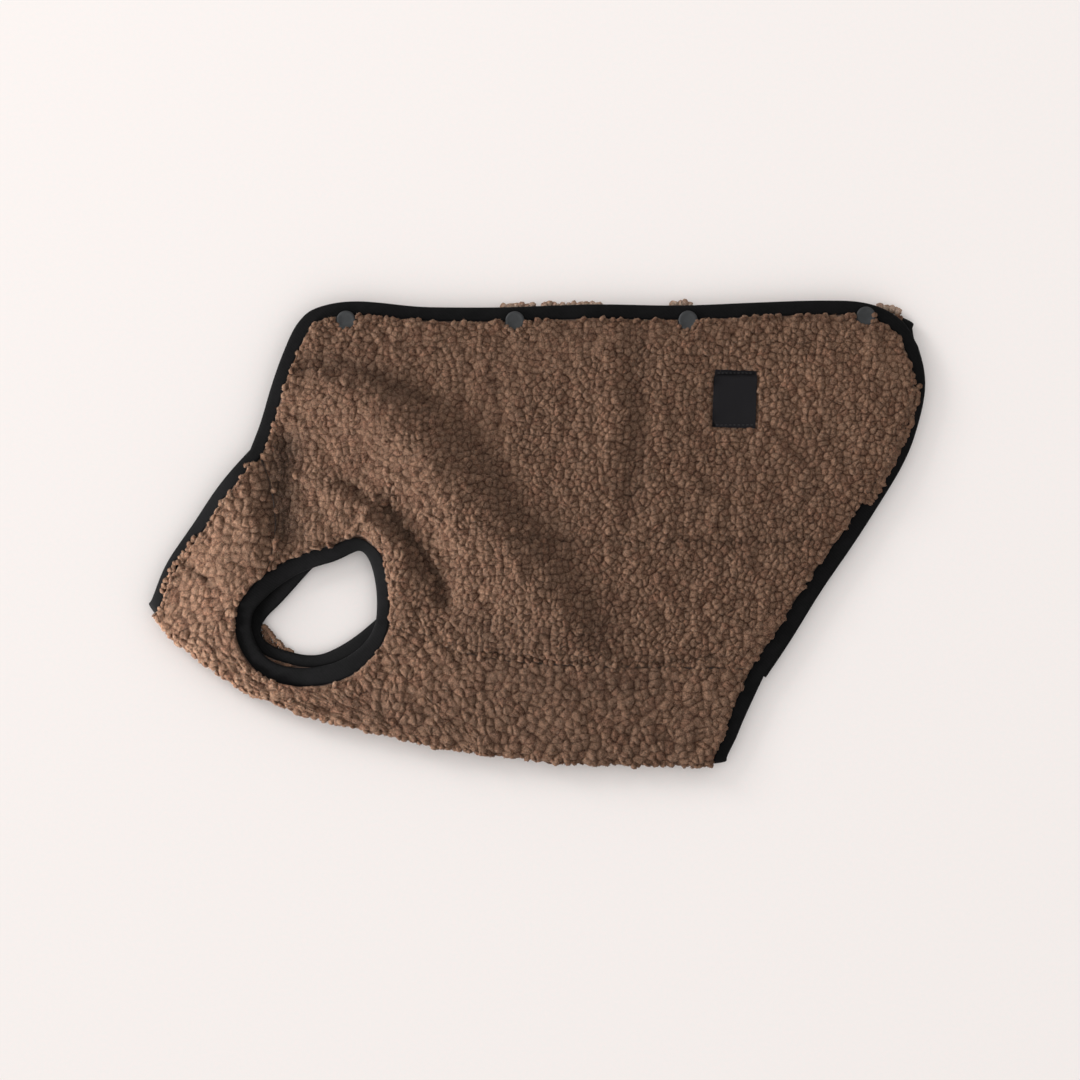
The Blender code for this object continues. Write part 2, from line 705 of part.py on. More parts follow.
def belly(finish):
    """The belly panel: its upper half, the fold along its middle, and its lower half."""
    upper, lower = upper_layer(), lower_layer()
    fold = run(
        BELLY_FOLD,
        0,
        skip=upper.belly_hem.tape[-1] + CLEARANCE,
        stop=upper.belly_neck.tape[0] + CLEARANCE,
        shares=1 - spread(BELLY_SPREAD),
    )
    middle = fold.place + fold.across * (PILE_WALL + LAYER_GAP / 2)
    over_fold = np.repeat(middle[:, None], FOLD_STEPS - 1, axis=1)
    top, under = belly_patch(upper, SEAM_2, middle), belly_patch(lower, UNDER_SEAM_2, middle)
    plan = np.concatenate([top, over_fold, under[:, ::-1]], axis=1)
    columns, rows = plan.shape[:2]
    wall = np.full((columns, rows), PILE_WALL)
    seam_spots = [*range(1, SEAM_1_STEPS), *range(SEAM_1_STEPS + ARM_LOW_STEPS + 1, columns - 1)]
    wall[:, 0] = SHOULDER_WALL
    wall[0, : BELLY_ROWS + 1] = wall[-1, : BELLY_ROWS + 1] = SHOULDER_WALL
    wall[seam_spots, 0] = SEAM_WALL
    turn = turned_over(BELLY_ROWS + 1, BELLY_ROWS + 1, FOLD_STEPS)
    cloth = Cloth(plan, turn, -fold.across, wall, upper_bed, lower_bed)

    along = np.stack([-fold.across[:, 1], fold.across[:, 0]], axis=1)
    ends = (
        (0, reversed_run(upper.belly_neck), reversed_run(lower.belly_neck), along[0]),
        (columns - 1, upper.belly_hem, lower.belly_hem, -along[-1]),
    )
    for column, high, low, fold_way in ends:
        ways = [
            blended(-high.across, fold_way),
            np.repeat(fold_way[None], FOLD_STEPS - 1, axis=0),
            blended(-low.across, fold_way)[::-1],
        ]
        reach = [bound_reach(high), np.full(FOLD_STEPS - 1, bound_reach(high)[-1]), bound_reach(low)[::-1]]
        cloth.bind([(column, j) for j in range(rows)], np.vstack(ways), np.concatenate(reach))
    for row, one in ((0, upper.arm_low), (rows - 1, lower.arm_low)):
        bind_run(cloth, [(SEAM_1_STEPS + k, row) for k in range(ARM_LOW_STEPS + 1)], one)
    cloth.solid("belly_panel", finish)
    return cloth


def right_side(finish):
    """The lower layer's side panel, turned over at the back into the placket."""
    layer, shares = lower_layer(), spread(SIDE_SPREAD)
    skip, stop = layer.side_neck.tape[-1] + CLEARANCE, layer.side_hem.tape[0] + CLEARANCE
    fold = run(BACK_FOLD, 0, skip=skip, stop=stop, shares=shares)
    radius = BACK_FOLD_WALL + PLACKET_GAP / 2
    middle = fold.place + fold.across * radius
    under = side_patch(layer, UNDER_SEAM_2, middle)[:, ::-1]
    over_fold = np.repeat(middle[:, None], FOLD_STEPS - 1, axis=1)
    down = np.linspace(PLACKET_REACH - radius - CLEARANCE, 0, PLACKET_ROWS + 1)
    placket = middle[:, None] + fold.across[:, None] * down[None, :, None]
    plan = np.concatenate([placket, over_fold, under], axis=1)
    columns, rows = plan.shape[:2]
    turn = turned_over(PLACKET_ROWS + 1, UNDER_ROWS + 1, FOLD_STEPS)
    wall = column_walls(plan, lower_bed)
    wall[:, : PLACKET_ROWS + 1] = PLACKET_WALL
    for k in range(1, FOLD_STEPS):
        wall[:, PLACKET_ROWS + k] = PLACKET_WALL + (BACK_FOLD_WALL - PLACKET_WALL) * k / FOLD_STEPS
    cloth = Cloth(plan, turn, -fold.across, wall, placket_bed, lower_bed)

    along = np.stack([-fold.across[:, 1], fold.across[:, 0]], axis=1)
    neck, hem = reversed_run(layer.side_neck), layer.side_hem
    flat = PLACKET_ROWS + FOLD_STEPS
    for column, one, fold_way in ((0, neck, -along[0]), (columns - 1, hem, along[-1])):
        ways = np.repeat(fold_way[None], flat, axis=0)
        ways = np.vstack([ways, blended(-one.across[::-1], fold_way)[::-1]])
        reach = np.concatenate([np.full(flat, bound_reach(one)[0]), bound_reach(one)])
        cloth.bind([(column, j) for j in range(flat + len(one.tape))], ways, reach)
    edge = fold.across * (PLACKET_TAPE + CLEARANCE)
    edge[0] -= along[0] * bound_reach(neck)[0]
    edge[-1] += along[-1] * bound_reach(hem)[0]
    size = np.linalg.norm(edge, axis=1)
    cloth.bind([(i, 0) for i in range(columns)], edge / size[:, None], size)
    bind_run(cloth, [(k, rows - 1) for k in range(ARM_TOP_STEPS + 1)], reversed_run(layer.arm_top))
    return cloth, cloth.solid("side_right", finish)


# ---- Tapes, snaps and label ----


def bind_edges(left, middle, right, finish):
    """One tape for each strip that is sewn on."""
    last, top = left.columns - 1, left.rows - 1
    round_left = [(0, j) for j in range(SEAM_1_STEPS, top)] + [(i, top) for i in range(last + 1)]
    down_hem = [(last, j) for j in range(top - 1, -1, -1)]
    left.tape("edge_tape_left", round_left + down_hem[: HEM_JOIN + 1], finish)
    left.tape("hem_tape_left", down_hem[HEM_JOIN:], finish)
    middle.tape("neck_tape_belly", [(0, j) for j in range(middle.rows)], finish)
    middle.tape("hem_tape_belly", [(middle.columns - 1, j) for j in range(middle.rows)], finish)
    far, under = right.columns - 1, right.rows - 1
    round_right = [(0, j) for j in range(under - SEAM_1_STEPS, 0, -1)] + [(i, 0) for i in range(far)]
    right.tape("edge_tape_right", round_right + [(far, j) for j in range(under + 1)], finish)
    for name, side, row, belly_row in (
        ("arm_tape_left", left, 0, 0),
        ("arm_tape_right", right, under, middle.rows - 1),
    ):
        over = [(k, row) for k in range(ARM_TOP_STEPS, -1, -1)]
        low = [(middle, (SEAM_1_STEPS + k, belly_row)) for k in range(1, ARM_LOW_STEPS)]
        side.tape(name, over, finish, others=low, closed=True)


SNAP_PLACES = (Place(-122.6, 138.6), Place(-13.6, 138.2), Place(98.2, 138.6), Place(213.0, 141.2))


Ring = namedtuple("Ring", "height radius")


def disc(name, place, low, rings, finish):
    """A round plate about an upright axis, from its lowest ring up."""
    points, faces = [], []
    for ring in rings:
        for k in range(SNAP_SIDES):
            angle = 2 * math.pi * k / SNAP_SIDES
            x, y = ring.radius * math.cos(angle), ring.radius * math.sin(angle)
            points.append((place.x + x, place.y + y, low + ring.height))
    for r in range(len(rings) - 1):
        for k in range(SNAP_SIDES):
            a, b = r * SNAP_SIDES + k, r * SNAP_SIDES + (k + 1) % SNAP_SIDES
            faces.append([a, b, b + SNAP_SIDES, a + SNAP_SIDES])
    faces.append(list(range(SNAP_SIDES)))
    faces.append([(len(rings) - 1) * SNAP_SIDES + k for k in range(SNAP_SIDES)])
    return add_object(name, points, faces, finish)


def sink(cloth_object, number, place, low, radius):
    """Cuts a round seat down to a height into a cloth's pile."""
    bpy.ops.mesh.primitive_cylinder_add(
        vertices=SNAP_SIDES,
        radius=(radius + CLEARANCE) * MM,
        depth=20 * MM,
        location=(place.x * MM, place.y * MM, (low + 10) * MM),
    )
    cutter = bpy.context.object
    cutter.name = f"seat_cutter_{cloth_object.name}_{number}"
    cutter.hide_render = True
    cutter.display_type = "WIRE"
    cut = cloth_object.modifiers.new(f"seat_{number}", "BOOLEAN")
    cut.object = cutter
    cut.operation = "DIFFERENCE"
    cut.solver = "EXACT"


def add_snaps(left_object, right_object, finish):
    """A cap on the left side's edge and, below it, the mating disc on the placket, for each snap."""
    cap = (
        Ring(0, SNAP_CAP_RADIUS),
        Ring(SNAP_CAP_THICK - 0.8, SNAP_CAP_RADIUS),
        Ring(SNAP_CAP_THICK, SNAP_CAP_RADIUS - 1.6),
    )
    plate = (Ring(0, SNAP_DISC_RADIUS), Ring(SNAP_DISC_THICK, SNAP_DISC_RADIUS))
    for number, place in enumerate(SNAP_PLACES, 1):
        cap_low = upper_bed(np.array(place)) + TAPE_HIGH + CLEARANCE
        sink(left_object, number, place, cap_low - CLEARANCE, SNAP_CAP_RADIUS)
        disc(f"snap_cap_{number}", place, cap_low, cap, finish)
        disc_low = CLOSURE_HEIGHT - CLEARANCE - SNAP_DISC_THICK
        sink(right_object, number, place, disc_low - CLEARANCE, SNAP_DISC_RADIUS)
        disc(f"snap_disc_{number}", place, disc_low, plate, finish)


def add_label(left_object, finish):
    """The woven label, made from the points of the panel below it, moved out."""
    across, down = LABEL_CELLS
    cos, sin = math.cos(LABEL_TURN), math.sin(LABEL_TURN)
    points = []
    for lift in (CLEARANCE + 0.1, CLEARANCE + 0.1 + LABEL_THICK):
        for j in range(down + 1):
            for i in range(across + 1):
                x, y = (i / across - 0.5) * LABEL_SIZE[0], (j / down - 0.5) * LABEL_SIZE[1]
                x, y = LABEL_CENTRE[0] + x * cos - y * sin, LABEL_CENTRE[1] + x * sin + y * cos
                hit = left_object.ray_cast((x * MM, y * MM, 1.0), (0, 0, -1))[1]
                points.append((x, y, hit.z / MM + lift))
    row, layer = across + 1, (across + 1) * (down + 1)
    rim = (
        [i for i in range(across)]
        + [j * row + across for j in range(down)]
        + [down * row + i for i in range(across, 0, -1)]
        + [j * row for j in range(down, 0, -1)]
    )
    faces = [[a, b, b + layer, a + layer] for a, b in zip(rim, rim[1:] + rim[:1])]
    for j in range(down):
        for i in range(across):
            a = j * row + i
            faces.append([a, a + 1, a + row + 1, a + row])
            faces.append([a + layer, a + row + layer, a + row + 1 + layer, a + 1 + layer])
    return add_object("woven_label", points, faces, finish)


def centre_on_floor():
    """Moves everything so that the coat's box stands centred on the origin."""
    shown = [o for o in bpy.data.objects if not o.hide_render]
    corners = np.array([tuple(v.co) for o in shown for v in o.data.vertices])
    low, high = corners.min(0), corners.max(0)
    for o in bpy.data.objects:
        o.location.x -= (low[0] + high[0]) / 2
        o.location.y -= (low[1] + high[1]) / 2
        o.location.z -= low[2]


def main():
    for old in list(bpy.data.objects):
        bpy.data.objects.remove(old)
    fleece = material("curly_fleece", PILE_BROWN, 0.95)
    tape = material("edge_tape", TAPE_BLACK, 0.75)
    label = material("woven_label", LABEL_BLACK, 0.8)
    snap = material("snap_plastic", SNAP_GREY, 0.45)
    left = left_side(fleece)
    middle = belly(fleece)
    right, right_object = right_side(fleece)
    bind_edges(left, middle, right, tape)
    left_object = bpy.data.objects["side_left"]
    add_label(left_object, label)
    add_snaps(left_object, right_object, snap)
    centre_on_floor()


main()
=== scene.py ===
import math

import bpy
import numpy as np
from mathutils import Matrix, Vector
from mathutils.bvhtree import BVHTree


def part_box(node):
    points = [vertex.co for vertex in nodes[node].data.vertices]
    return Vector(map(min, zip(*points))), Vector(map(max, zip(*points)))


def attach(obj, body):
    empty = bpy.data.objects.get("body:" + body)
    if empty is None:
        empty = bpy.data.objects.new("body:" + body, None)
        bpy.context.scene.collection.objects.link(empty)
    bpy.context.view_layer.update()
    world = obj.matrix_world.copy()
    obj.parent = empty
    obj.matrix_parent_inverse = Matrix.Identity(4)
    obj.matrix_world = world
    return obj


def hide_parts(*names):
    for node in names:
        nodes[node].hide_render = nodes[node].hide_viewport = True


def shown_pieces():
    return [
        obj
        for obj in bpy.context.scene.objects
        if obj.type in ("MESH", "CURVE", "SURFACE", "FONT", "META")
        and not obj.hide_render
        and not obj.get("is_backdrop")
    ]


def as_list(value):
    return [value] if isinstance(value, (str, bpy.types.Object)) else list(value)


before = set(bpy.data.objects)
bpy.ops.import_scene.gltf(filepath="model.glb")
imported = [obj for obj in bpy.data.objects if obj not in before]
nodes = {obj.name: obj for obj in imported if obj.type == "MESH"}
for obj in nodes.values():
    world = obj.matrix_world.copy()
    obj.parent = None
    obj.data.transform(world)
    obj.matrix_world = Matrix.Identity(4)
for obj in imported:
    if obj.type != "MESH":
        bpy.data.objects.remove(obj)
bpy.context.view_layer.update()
scene = bpy.context.scene
mm = 0.001
print("frame loaded:", len(nodes), "nodes")


# small tools

def hexColor(code):
    parts = [int(code[i:i + 2], 16) / 255 for i in (1, 3, 5)]
    return tuple(p / 12.92 if p <= 0.04045 else ((p + 0.055) / 1.055) ** 2.4 for p in parts) + (1.0,)


def addNode(tree, kind, inputs=None, **settings):
    node = tree.nodes.new(kind)
    for name, value in settings.items():
        setattr(node, name, value)
    for key, value in (inputs or {}).items():
        if isinstance(value, bpy.types.Node):
            value = value.outputs[0]
        if isinstance(value, bpy.types.NodeSocket):
            tree.links.new(value, node.inputs[key])
        else:
            node.inputs[key].default_value = value
    return node


def pick(obj):
    bpy.ops.object.select_all(action="DESELECT")
    obj.select_set(True)
    bpy.context.view_layer.objects.active = obj


def editAll(obj):
    pick(obj)
    bpy.ops.object.mode_set(mode="EDIT")
    bpy.ops.mesh.select_all(action="SELECT")


def editDone():
    bpy.ops.object.mode_set(mode="OBJECT")


def applyAll(obj):
    pick(obj)
    for modifier in list(obj.modifiers):
        bpy.ops.object.modifier_apply(modifier=modifier.name)


def newPiece(name, mesh):
    piece = bpy.data.objects.new(name, mesh)
    scene.collection.objects.link(piece)
    mesh.name = name
    return piece


def copyOfNode(node, name):
    piece = newPiece(name, nodes[node].data.copy())
    piece.data.materials.clear()
    editAll(piece)
    bpy.ops.mesh.remove_doubles(threshold=0.01 * mm)
    bpy.ops.mesh.customdata_custom_splitnormals_clear()
    bpy.ops.mesh.tris_convert_to_quads(face_threshold=math.radians(50), shape_threshold=math.radians(70))
    editDone()
    return piece


def joinedCopy(names, name):
    made = [newPiece(name, nodes[node].data.copy()) for node in names]
    bpy.ops.object.select_all(action="DESELECT")
    for piece in made:
        piece.select_set(True)
    bpy.context.view_layer.objects.active = made[0]
    bpy.ops.object.join()
    return made[0]


def takeOut(obj):
    for home in obj.users_collection:
        home.objects.unlink(obj)


def facesSelected(obj, test):
    chosen = [bool(test(face)) for face in obj.data.polygons]
    obj.data.vertices.foreach_set("select", [False] * len(obj.data.vertices))
    obj.data.edges.foreach_set("select", [False] * len(obj.data.edges))
    obj.data.polygons.foreach_set("select", chosen)


def faceValues(obj, name):
    values = np.zeros(len(obj.data.polygons), np.float32)
    obj.data.attributes[name].data.foreach_get("value", values)
    return values


def keepPointValues(obj, name, values):
    obj.data.attributes.new(name, "FLOAT", "POINT").data.foreach_set("value", values.astype(np.float32))


def points(obj):
    flat = np.zeros(len(obj.data.vertices) * 3, np.float32)
    obj.data.vertices.foreach_get("co", flat)
    return flat.reshape(-1, 3).astype(float)


def setPoints(obj, places):
    obj.data.vertices.foreach_set("co", places.astype(np.float32).ravel())
    obj.data.update()


def putInOrder(obj):
    # mesh tools leave points and faces in a chance order, which the scattered fibres would follow
    places = np.round(points(obj), 6)
    order = np.lexsort(places.T)
    rank = np.argsort(order).tolist()
    faces = []
    for face in obj.data.polygons:
        corners = [rank[i] for i in face.vertices]
        first = corners.index(min(corners))
        faces.append(corners[first:] + corners[:first])
    mesh = bpy.data.meshes.new(obj.name)
    mesh.from_pydata(places[order].tolist(), [], sorted(faces))
    chance, obj.data = obj.data, mesh
    bpy.data.meshes.remove(chance)
    mesh.name = obj.name


def triangleCount(obj):
    return sum(len(face.vertices) - 2 for face in obj.data.polygons)


def creaseSharp(obj, angle, value):
    editAll(obj)
    bpy.ops.mesh.select_all(action="DESELECT")
    bpy.ops.mesh.edges_select_sharp(sharpness=math.radians(angle))
    bpy.ops.transform.edge_crease(value=value)
    editDone()


def smooth(obj, levels):
    modifier = obj.modifiers.new("smooth", "SUBSURF")
    modifier.levels = modifier.render_levels = levels
    applyAll(obj)


def newGeometry(name):
    tree = bpy.data.node_groups.new(name, "GeometryNodeTree")
    tree.interface.new_socket("Geometry", in_out="INPUT", socket_type="NodeSocketGeometry")
    tree.interface.new_socket("Geometry", in_out="OUTPUT", socket_type="NodeSocketGeometry")
    return tree, addNode(tree, "NodeGroupInput")


def runGeometry(piece, tree):
    modifier = piece.modifiers.new("geometry", "NODES")
    modifier.node_group = tree
    applyAll(piece)


def heldOffFloor(tree, geometry):
    # nothing reaches below the floor
    split = addNode(tree, "ShaderNodeSeparateXYZ", {0: addNode(tree, "GeometryNodeInputPosition")})
    height = addNode(tree, "ShaderNodeMath", {0: split.outputs["Z"], 1: 0.0}, operation="MAXIMUM")
    place = addNode(tree, "ShaderNodeCombineXYZ", {0: split, 1: split.outputs["Y"], 2: height})
    return addNode(tree, "GeometryNodeSetPosition", {"Geometry": geometry, "Position": place})


def finishPiece(piece, material, node=None):
    piece.data.materials.clear()
    piece.data.materials.append(material)
    piece.data.polygons.foreach_set("material_index", [0] * len(piece.data.polygons))
    if node:
        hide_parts(node)
    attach(piece, "root")
    print(piece.name, triangleCount(piece), "triangles")
    return piece


# camera, floor and light

studio = {
    "cameraPlace": (0.0022, -0.0033, 1.95), "cameraLens": 100, "sensor": 36,
    "keyPlace": (-2.5, 2.0, 1.5), "keyAim": (0, 0, 0), "keySize": 1.2, "keyPower": 40,
    # the next two light only the coat
    "rakePlace": (-2.7, 0.1, 0.65), "rakeAim": (0, 0, 0), "rakeSize": 0.5, "rakePower": 58,
    "kickPlace": (-0.46, -0.2, 0.15), "kickAim": (-0.22, -0.06, 0), "kickSize": 0.15, "kickPower": 4.0,
    "skyStrength": 0.88, "skyColor": "#ffffff",
    "floorShade": "#f4efec", "floorColor": "#f7efec", "floorSize": 6, "floorHeight": -0.0002,
}
cameraData = bpy.data.cameras.new("camera")
camera = bpy.data.objects.new("camera", cameraData)
scene.collection.objects.link(camera)
cameraData.lens, cameraData.sensor_width = studio["cameraLens"], studio["sensor"]
camera.location = studio["cameraPlace"]
scene.camera = camera
scene.view_settings.view_transform = "Standard"

for lamp in ("key", "rake", "kick"):
    lampData = bpy.data.lights.new(lamp, "AREA")
    lampObject = bpy.data.objects.new(lamp, lampData)
    scene.collection.objects.link(lampObject)
    lampData.size, lampData.energy = studio[lamp + "Size"], studio[lamp + "Power"]
    lampObject.location = studio[lamp + "Place"]
    aim = Vector(studio[lamp + "Aim"])
    lampObject.rotation_euler = (aim - lampObject.location).to_track_quat("-Z", "Y").to_euler()

world = bpy.data.worlds.new("sky")
scene.world = world
world.use_nodes = True
world.node_tree.nodes.clear()
sky = addNode(world.node_tree, "ShaderNodeBackground",
              {"Color": hexColor(studio["skyColor"]), "Strength": studio["skyStrength"]})
addNode(world.node_tree, "ShaderNodeOutputWorld", {"Surface": sky})


# materials

def newMaterial(name):
    material = bpy.data.materials.new(name)
    material.use_nodes = True
    material.node_tree.nodes.clear()
    return material, material.node_tree, addNode(material.node_tree, "ShaderNodeTexCoord").outputs["Object"]


def finishMaterial(tree, color, bump, settings):
    inputs = {"Base Color": color, **settings}
    if bump is not None:
        inputs["Normal"] = bump
    shader = addNode(tree, "ShaderNodeBsdfPrincipled", inputs)
    addNode(tree, "ShaderNodeOutputMaterial", {"Surface": shader})


def ramp(tree, value, stops):
    node = addNode(tree, "ShaderNodeValToRGB", {"Fac": value})
    for i, (place, color) in enumerate(stops):
        element = node.color_ramp.elements[i] if i < 2 else node.color_ramp.elements.new(place)
        element.position, element.color = place, hexColor(color)
    return node.outputs["Color"]


fleeceColors = {
    "body": ((0.0, "#4a3326"), (0.3, "#664d3d"), (1.0, "#765c4b")),  # painted shade: dark down between the tufts, light on their tops
    "paintedLit": ((0.0, "#7d6555"), (0.5, "#9c8473"), (1.0, "#b5a091")),  # painted light: a lighter copy for the tufts along the top fold
    "hue": ((0.0, "#8f766c"), (0.5, "#85807c"), (1.0, "#7d766f")),  # tuft by tuft: redder, even, greyer
}
fleeceShade = {
    "fibreScale": 1300.0, "fibreFrom": 0.36, "fibreTo": 0.64, "patchScale": 45.0, "hueShare": 0.5,
    "base": 0.1, "byFibre": 1.6, "byPatch": 0.12, "byTint": 0.3,  # what makes up how light it is
    "bump": 0.7, "bumpDepth": 0.5 * mm,
}
tufts = {  # sizes without mm are in tufts
    "sideSize": 4.3 * mm, "bellySize": 5.6 * mm, "rise": 1.5 * mm, "sway": 0.8, "swaySize": 2.2,
    "fray": 0.44, "fraySize": 0.3, "domeReach": 1.5, "domeFall": 0.45, "gap": 0.26,
    "smallSize": 0.46, "smallRise": 0.45 * mm, "smallTop": 0.6, "clumpSize": 2.3, "clumpRise": 1.15 * mm,
    "foldSink": 3.0 * mm, "foldFrom": 0.8, "foldTo": 0.3, "underPress": 0.8,
    "bareFrom": 0.4 * mm, "bareTo": 2.2 * mm, "bareSink": 1.2 * mm,  # round the label and the snap caps
}


def tuftPattern(tree, place):
    # domes of curled pile packed edge to edge: the same pattern moves the cloth and colours it, with painted
    # shade in the gaps between the domes
    moved = place
    for way, detail in (("sway", 1.0), ("fray", 2.0)):
        noise = addNode(tree, "ShaderNodeTexNoise",
                        {"Vector": place, "Scale": 1 / tufts[way + "Size"], "Detail": detail})
        noise = addNode(tree, "ShaderNodeVectorMath", {0: noise.outputs["Color"], 1: (0.5, 0.5, 0.5)},
                        operation="SUBTRACT")
        noise = addNode(tree, "ShaderNodeVectorMath", {0: noise, "Scale": tufts[way]}, operation="SCALE")
        moved = addNode(tree, "ShaderNodeVectorMath", {0: moved, 1: noise}, operation="ADD")
    cellInputs = {"Vector": moved, "Scale": 1.0, "Randomness": 1.0}
    cells = addNode(tree, "ShaderNodeTexVoronoi", cellInputs, voronoi_dimensions="2D")
    dome = addNode(tree, "ShaderNodeMath", {0: cells.outputs["Distance"], 1: tufts["domeReach"]},
                   operation="MULTIPLY")
    dome = addNode(tree, "ShaderNodeMath", {0: dome, 1: 2.0}, operation="POWER")
    dome = addNode(tree, "ShaderNodeMath", {0: dome, 1: -tufts["domeFall"], 2: 1.0}, operation="MULTIPLY_ADD")
    gaps = addNode(tree, "ShaderNodeTexVoronoi", cellInputs, voronoi_dimensions="2D",
                   feature="DISTANCE_TO_EDGE")
    wall = addNode(tree, "ShaderNodeMapRange", {"Value": gaps.outputs["Distance"], "From Min": tufts["gap"],
                                                "From Max": 0.0})
    wall = addNode(tree, "ShaderNodeMath", {0: wall, 1: 2.0}, operation="POWER")
    wall = addNode(tree, "ShaderNodeMath", {0: 1.0, 1: wall}, operation="SUBTRACT")
    dome = addNode(tree, "ShaderNodeMath", {0: dome, 1: wall}, operation="MULTIPLY")
    small = addNode(tree, "ShaderNodeTexVoronoi", {"Vector": moved, "Scale": 1 / tufts["smallSize"]})
    curl = addNode(tree, "ShaderNodeMath", {0: small.outputs["Distance"], 1: 2.0}, operation="POWER")
    curl = addNode(tree, "ShaderNodeMath", {0: curl, 1: -2.0, 2: tufts["smallTop"]}, operation="MULTIPLY_ADD")
    tint = addNode(tree, "ShaderNodeSeparateXYZ", {0: cells.outputs["Color"]})
    return dome, curl, tint


def curlyFleece(name, source, colors="body"):
    # polyester curly pile, tumbled into tufts: matt, soft at the edges, with painted shade between the tufts
    material, tree, place = newMaterial(name)
    shade = fleeceShade
    fibres = addNode(tree, "ShaderNodeTexNoise",
                     {"Vector": place, "Scale": shade["fibreScale"], "Detail": 2.0, "Roughness": 0.8,
                      "Distortion": 1.5})  # crimped fibres, drawn 0.4 mm wide
    fibres = addNode(tree, "ShaderNodeMapRange", {"Value": fibres, "From Min": shade["fibreFrom"],
                                                  "From Max": shade["fibreTo"]})
    patches = addNode(tree, "ShaderNodeTexNoise",
                      {"Vector": place, "Scale": shade["patchScale"], "Detail": 2.0})
    patches = addNode(tree, "ShaderNodeMapRange", {"Value": patches, "From Min": 0.3, "From Max": 0.7})
    form = 0.0
    # tip runs from the gaps between the tufts to their tops; the colour ramp paints shade into the gaps
    if source == "cloth":
        rest = addNode(tree, "ShaderNodeAttribute", attribute_name="pilePlace").outputs["Vector"]
        dome, curl, tint = tuftPattern(tree, rest)
        tip = addNode(tree, "ShaderNodeMapRange", {"Value": dome, "From Min": 0.0, "From Max": 0.95})
        tip = addNode(tree, "ShaderNodeMath", {0: curl, 1: 0.2, 2: tip}, operation="MULTIPLY_ADD")
        form = addNode(tree, "ShaderNodeMath", {0: dome, 1: 0.8, 2: curl}, operation="MULTIPLY_ADD")
    else:
        tint = addNode(tree, "ShaderNodeAttribute", attribute_name="tint").outputs["Fac"]
        tip = addNode(tree, "ShaderNodeAttribute", attribute_name="tip").outputs["Fac"]
    mixed = addNode(tree, "ShaderNodeMix", {0: shade["hueShare"], 6: ramp(tree, tip, fleeceColors[colors]),
                                            7: ramp(tree, tint, fleeceColors["hue"])},
                    data_type="RGBA", blend_type="OVERLAY")
    level = shade["base"]
    for part, share in ((fibres, "byFibre"), (patches, "byPatch"), (tint, "byTint")):
        level = addNode(tree, "ShaderNodeMath", {0: part, 1: shade[share], 2: level},
                        operation="MULTIPLY_ADD")
    # painted shade along the creases and over wide patches, and painted light where the factor is above one
    if source == "cloth":
        closed = addNode(tree, "ShaderNodeAttribute", attribute_name="closed").outputs["Fac"]
        level = addNode(tree, "ShaderNodeMath", {0: level, 1: closed}, operation="MULTIPLY")
    color = addNode(tree, "ShaderNodeVectorMath", {0: mixed.outputs[2], "Scale": level}, operation="SCALE")
    rise = addNode(tree, "ShaderNodeMath", {0: fibres, 1: 0.8, 2: form}, operation="MULTIPLY_ADD")
    bump = addNode(tree, "ShaderNodeBump",
                   {"Height": rise, "Strength": shade["bump"], "Distance": shade["bumpDepth"]})
    finishMaterial(tree, color, bump,
                   {"Roughness": 0.92, "Specular IOR Level": 0.15,
                    "Sheen Weight": 0.22, "Sheen Roughness": 0.5, "Sheen Tint": hexColor("#c4a48f"),
                    "Subsurface Weight": 0.3, "Subsurface Radius": (1.0, 0.62, 0.45),
                    "Subsurface Scale": 1.2 * mm})
    return material


def knitBacking():
    # warp-knit polyester ground of the fleece, seen on its inner side: flat, with fine wales
    material, tree, place = newMaterial("knittedFleeceBacking")
    wales = addNode(tree, "ShaderNodeTexWave",
                    {"Vector": place, "Scale": 210.0, "Distortion": 1.5, "Detail": 2.0, "Detail Scale": 3.0},
                    bands_direction="Y")  # wales 1.5 mm apart
    color = ramp(tree, wales.outputs["Fac"], ((0.0, "#35261e"), (1.0, "#4f3b30")))
    bump = addNode(tree, "ShaderNodeBump",
                   {"Height": wales.outputs["Fac"], "Strength": 0.4, "Distance": 0.3 * mm})
    finishMaterial(tree, color, bump, {"Roughness": 0.9, "Specular IOR Level": 0.2, "Sheen Weight": 0.2})
    return material


def twillTape():
    # polyester twill binding, folded and pressed: nearly black, a faint sheen along its bends
    material, tree, place = newMaterial("twillBindingTape")
    ribs = addNode(tree, "ShaderNodeTexWave",
                   {"Vector": place, "Scale": 280.0, "Distortion": 0.6, "Detail": 1.0},
                   bands_direction="DIAGONAL")  # twill lines 1.1 mm apart, coarser than real
    lint = addNode(tree, "ShaderNodeTexNoise",
                   {"Vector": place, "Scale": 420.0, "Detail": 4.0, "Roughness": 0.7})
    wear = addNode(tree, "ShaderNodeTexNoise", {"Vector": place, "Scale": 60.0, "Detail": 3.0})
    face = addNode(tree, "ShaderNodeMath", {0: ribs.outputs["Fac"], 1: 0.25, 2: lint},
                   operation="MULTIPLY_ADD")
    face = addNode(tree, "ShaderNodeMath", {0: wear, 1: 0.6, 2: face}, operation="MULTIPLY_ADD")
    color = ramp(tree, face, ((0.3, "#030303"), (0.85, "#050505"), (1.0, "#0a090a")))
    bump = addNode(tree, "ShaderNodeBump", {"Height": face, "Strength": 0.3, "Distance": 0.2 * mm})
    finishMaterial(tree, color, bump, {"Roughness": 0.8, "Specular IOR Level": 0.1, "Sheen Weight": 0.02,
                                       "Sheen Roughness": 0.4})
    return material


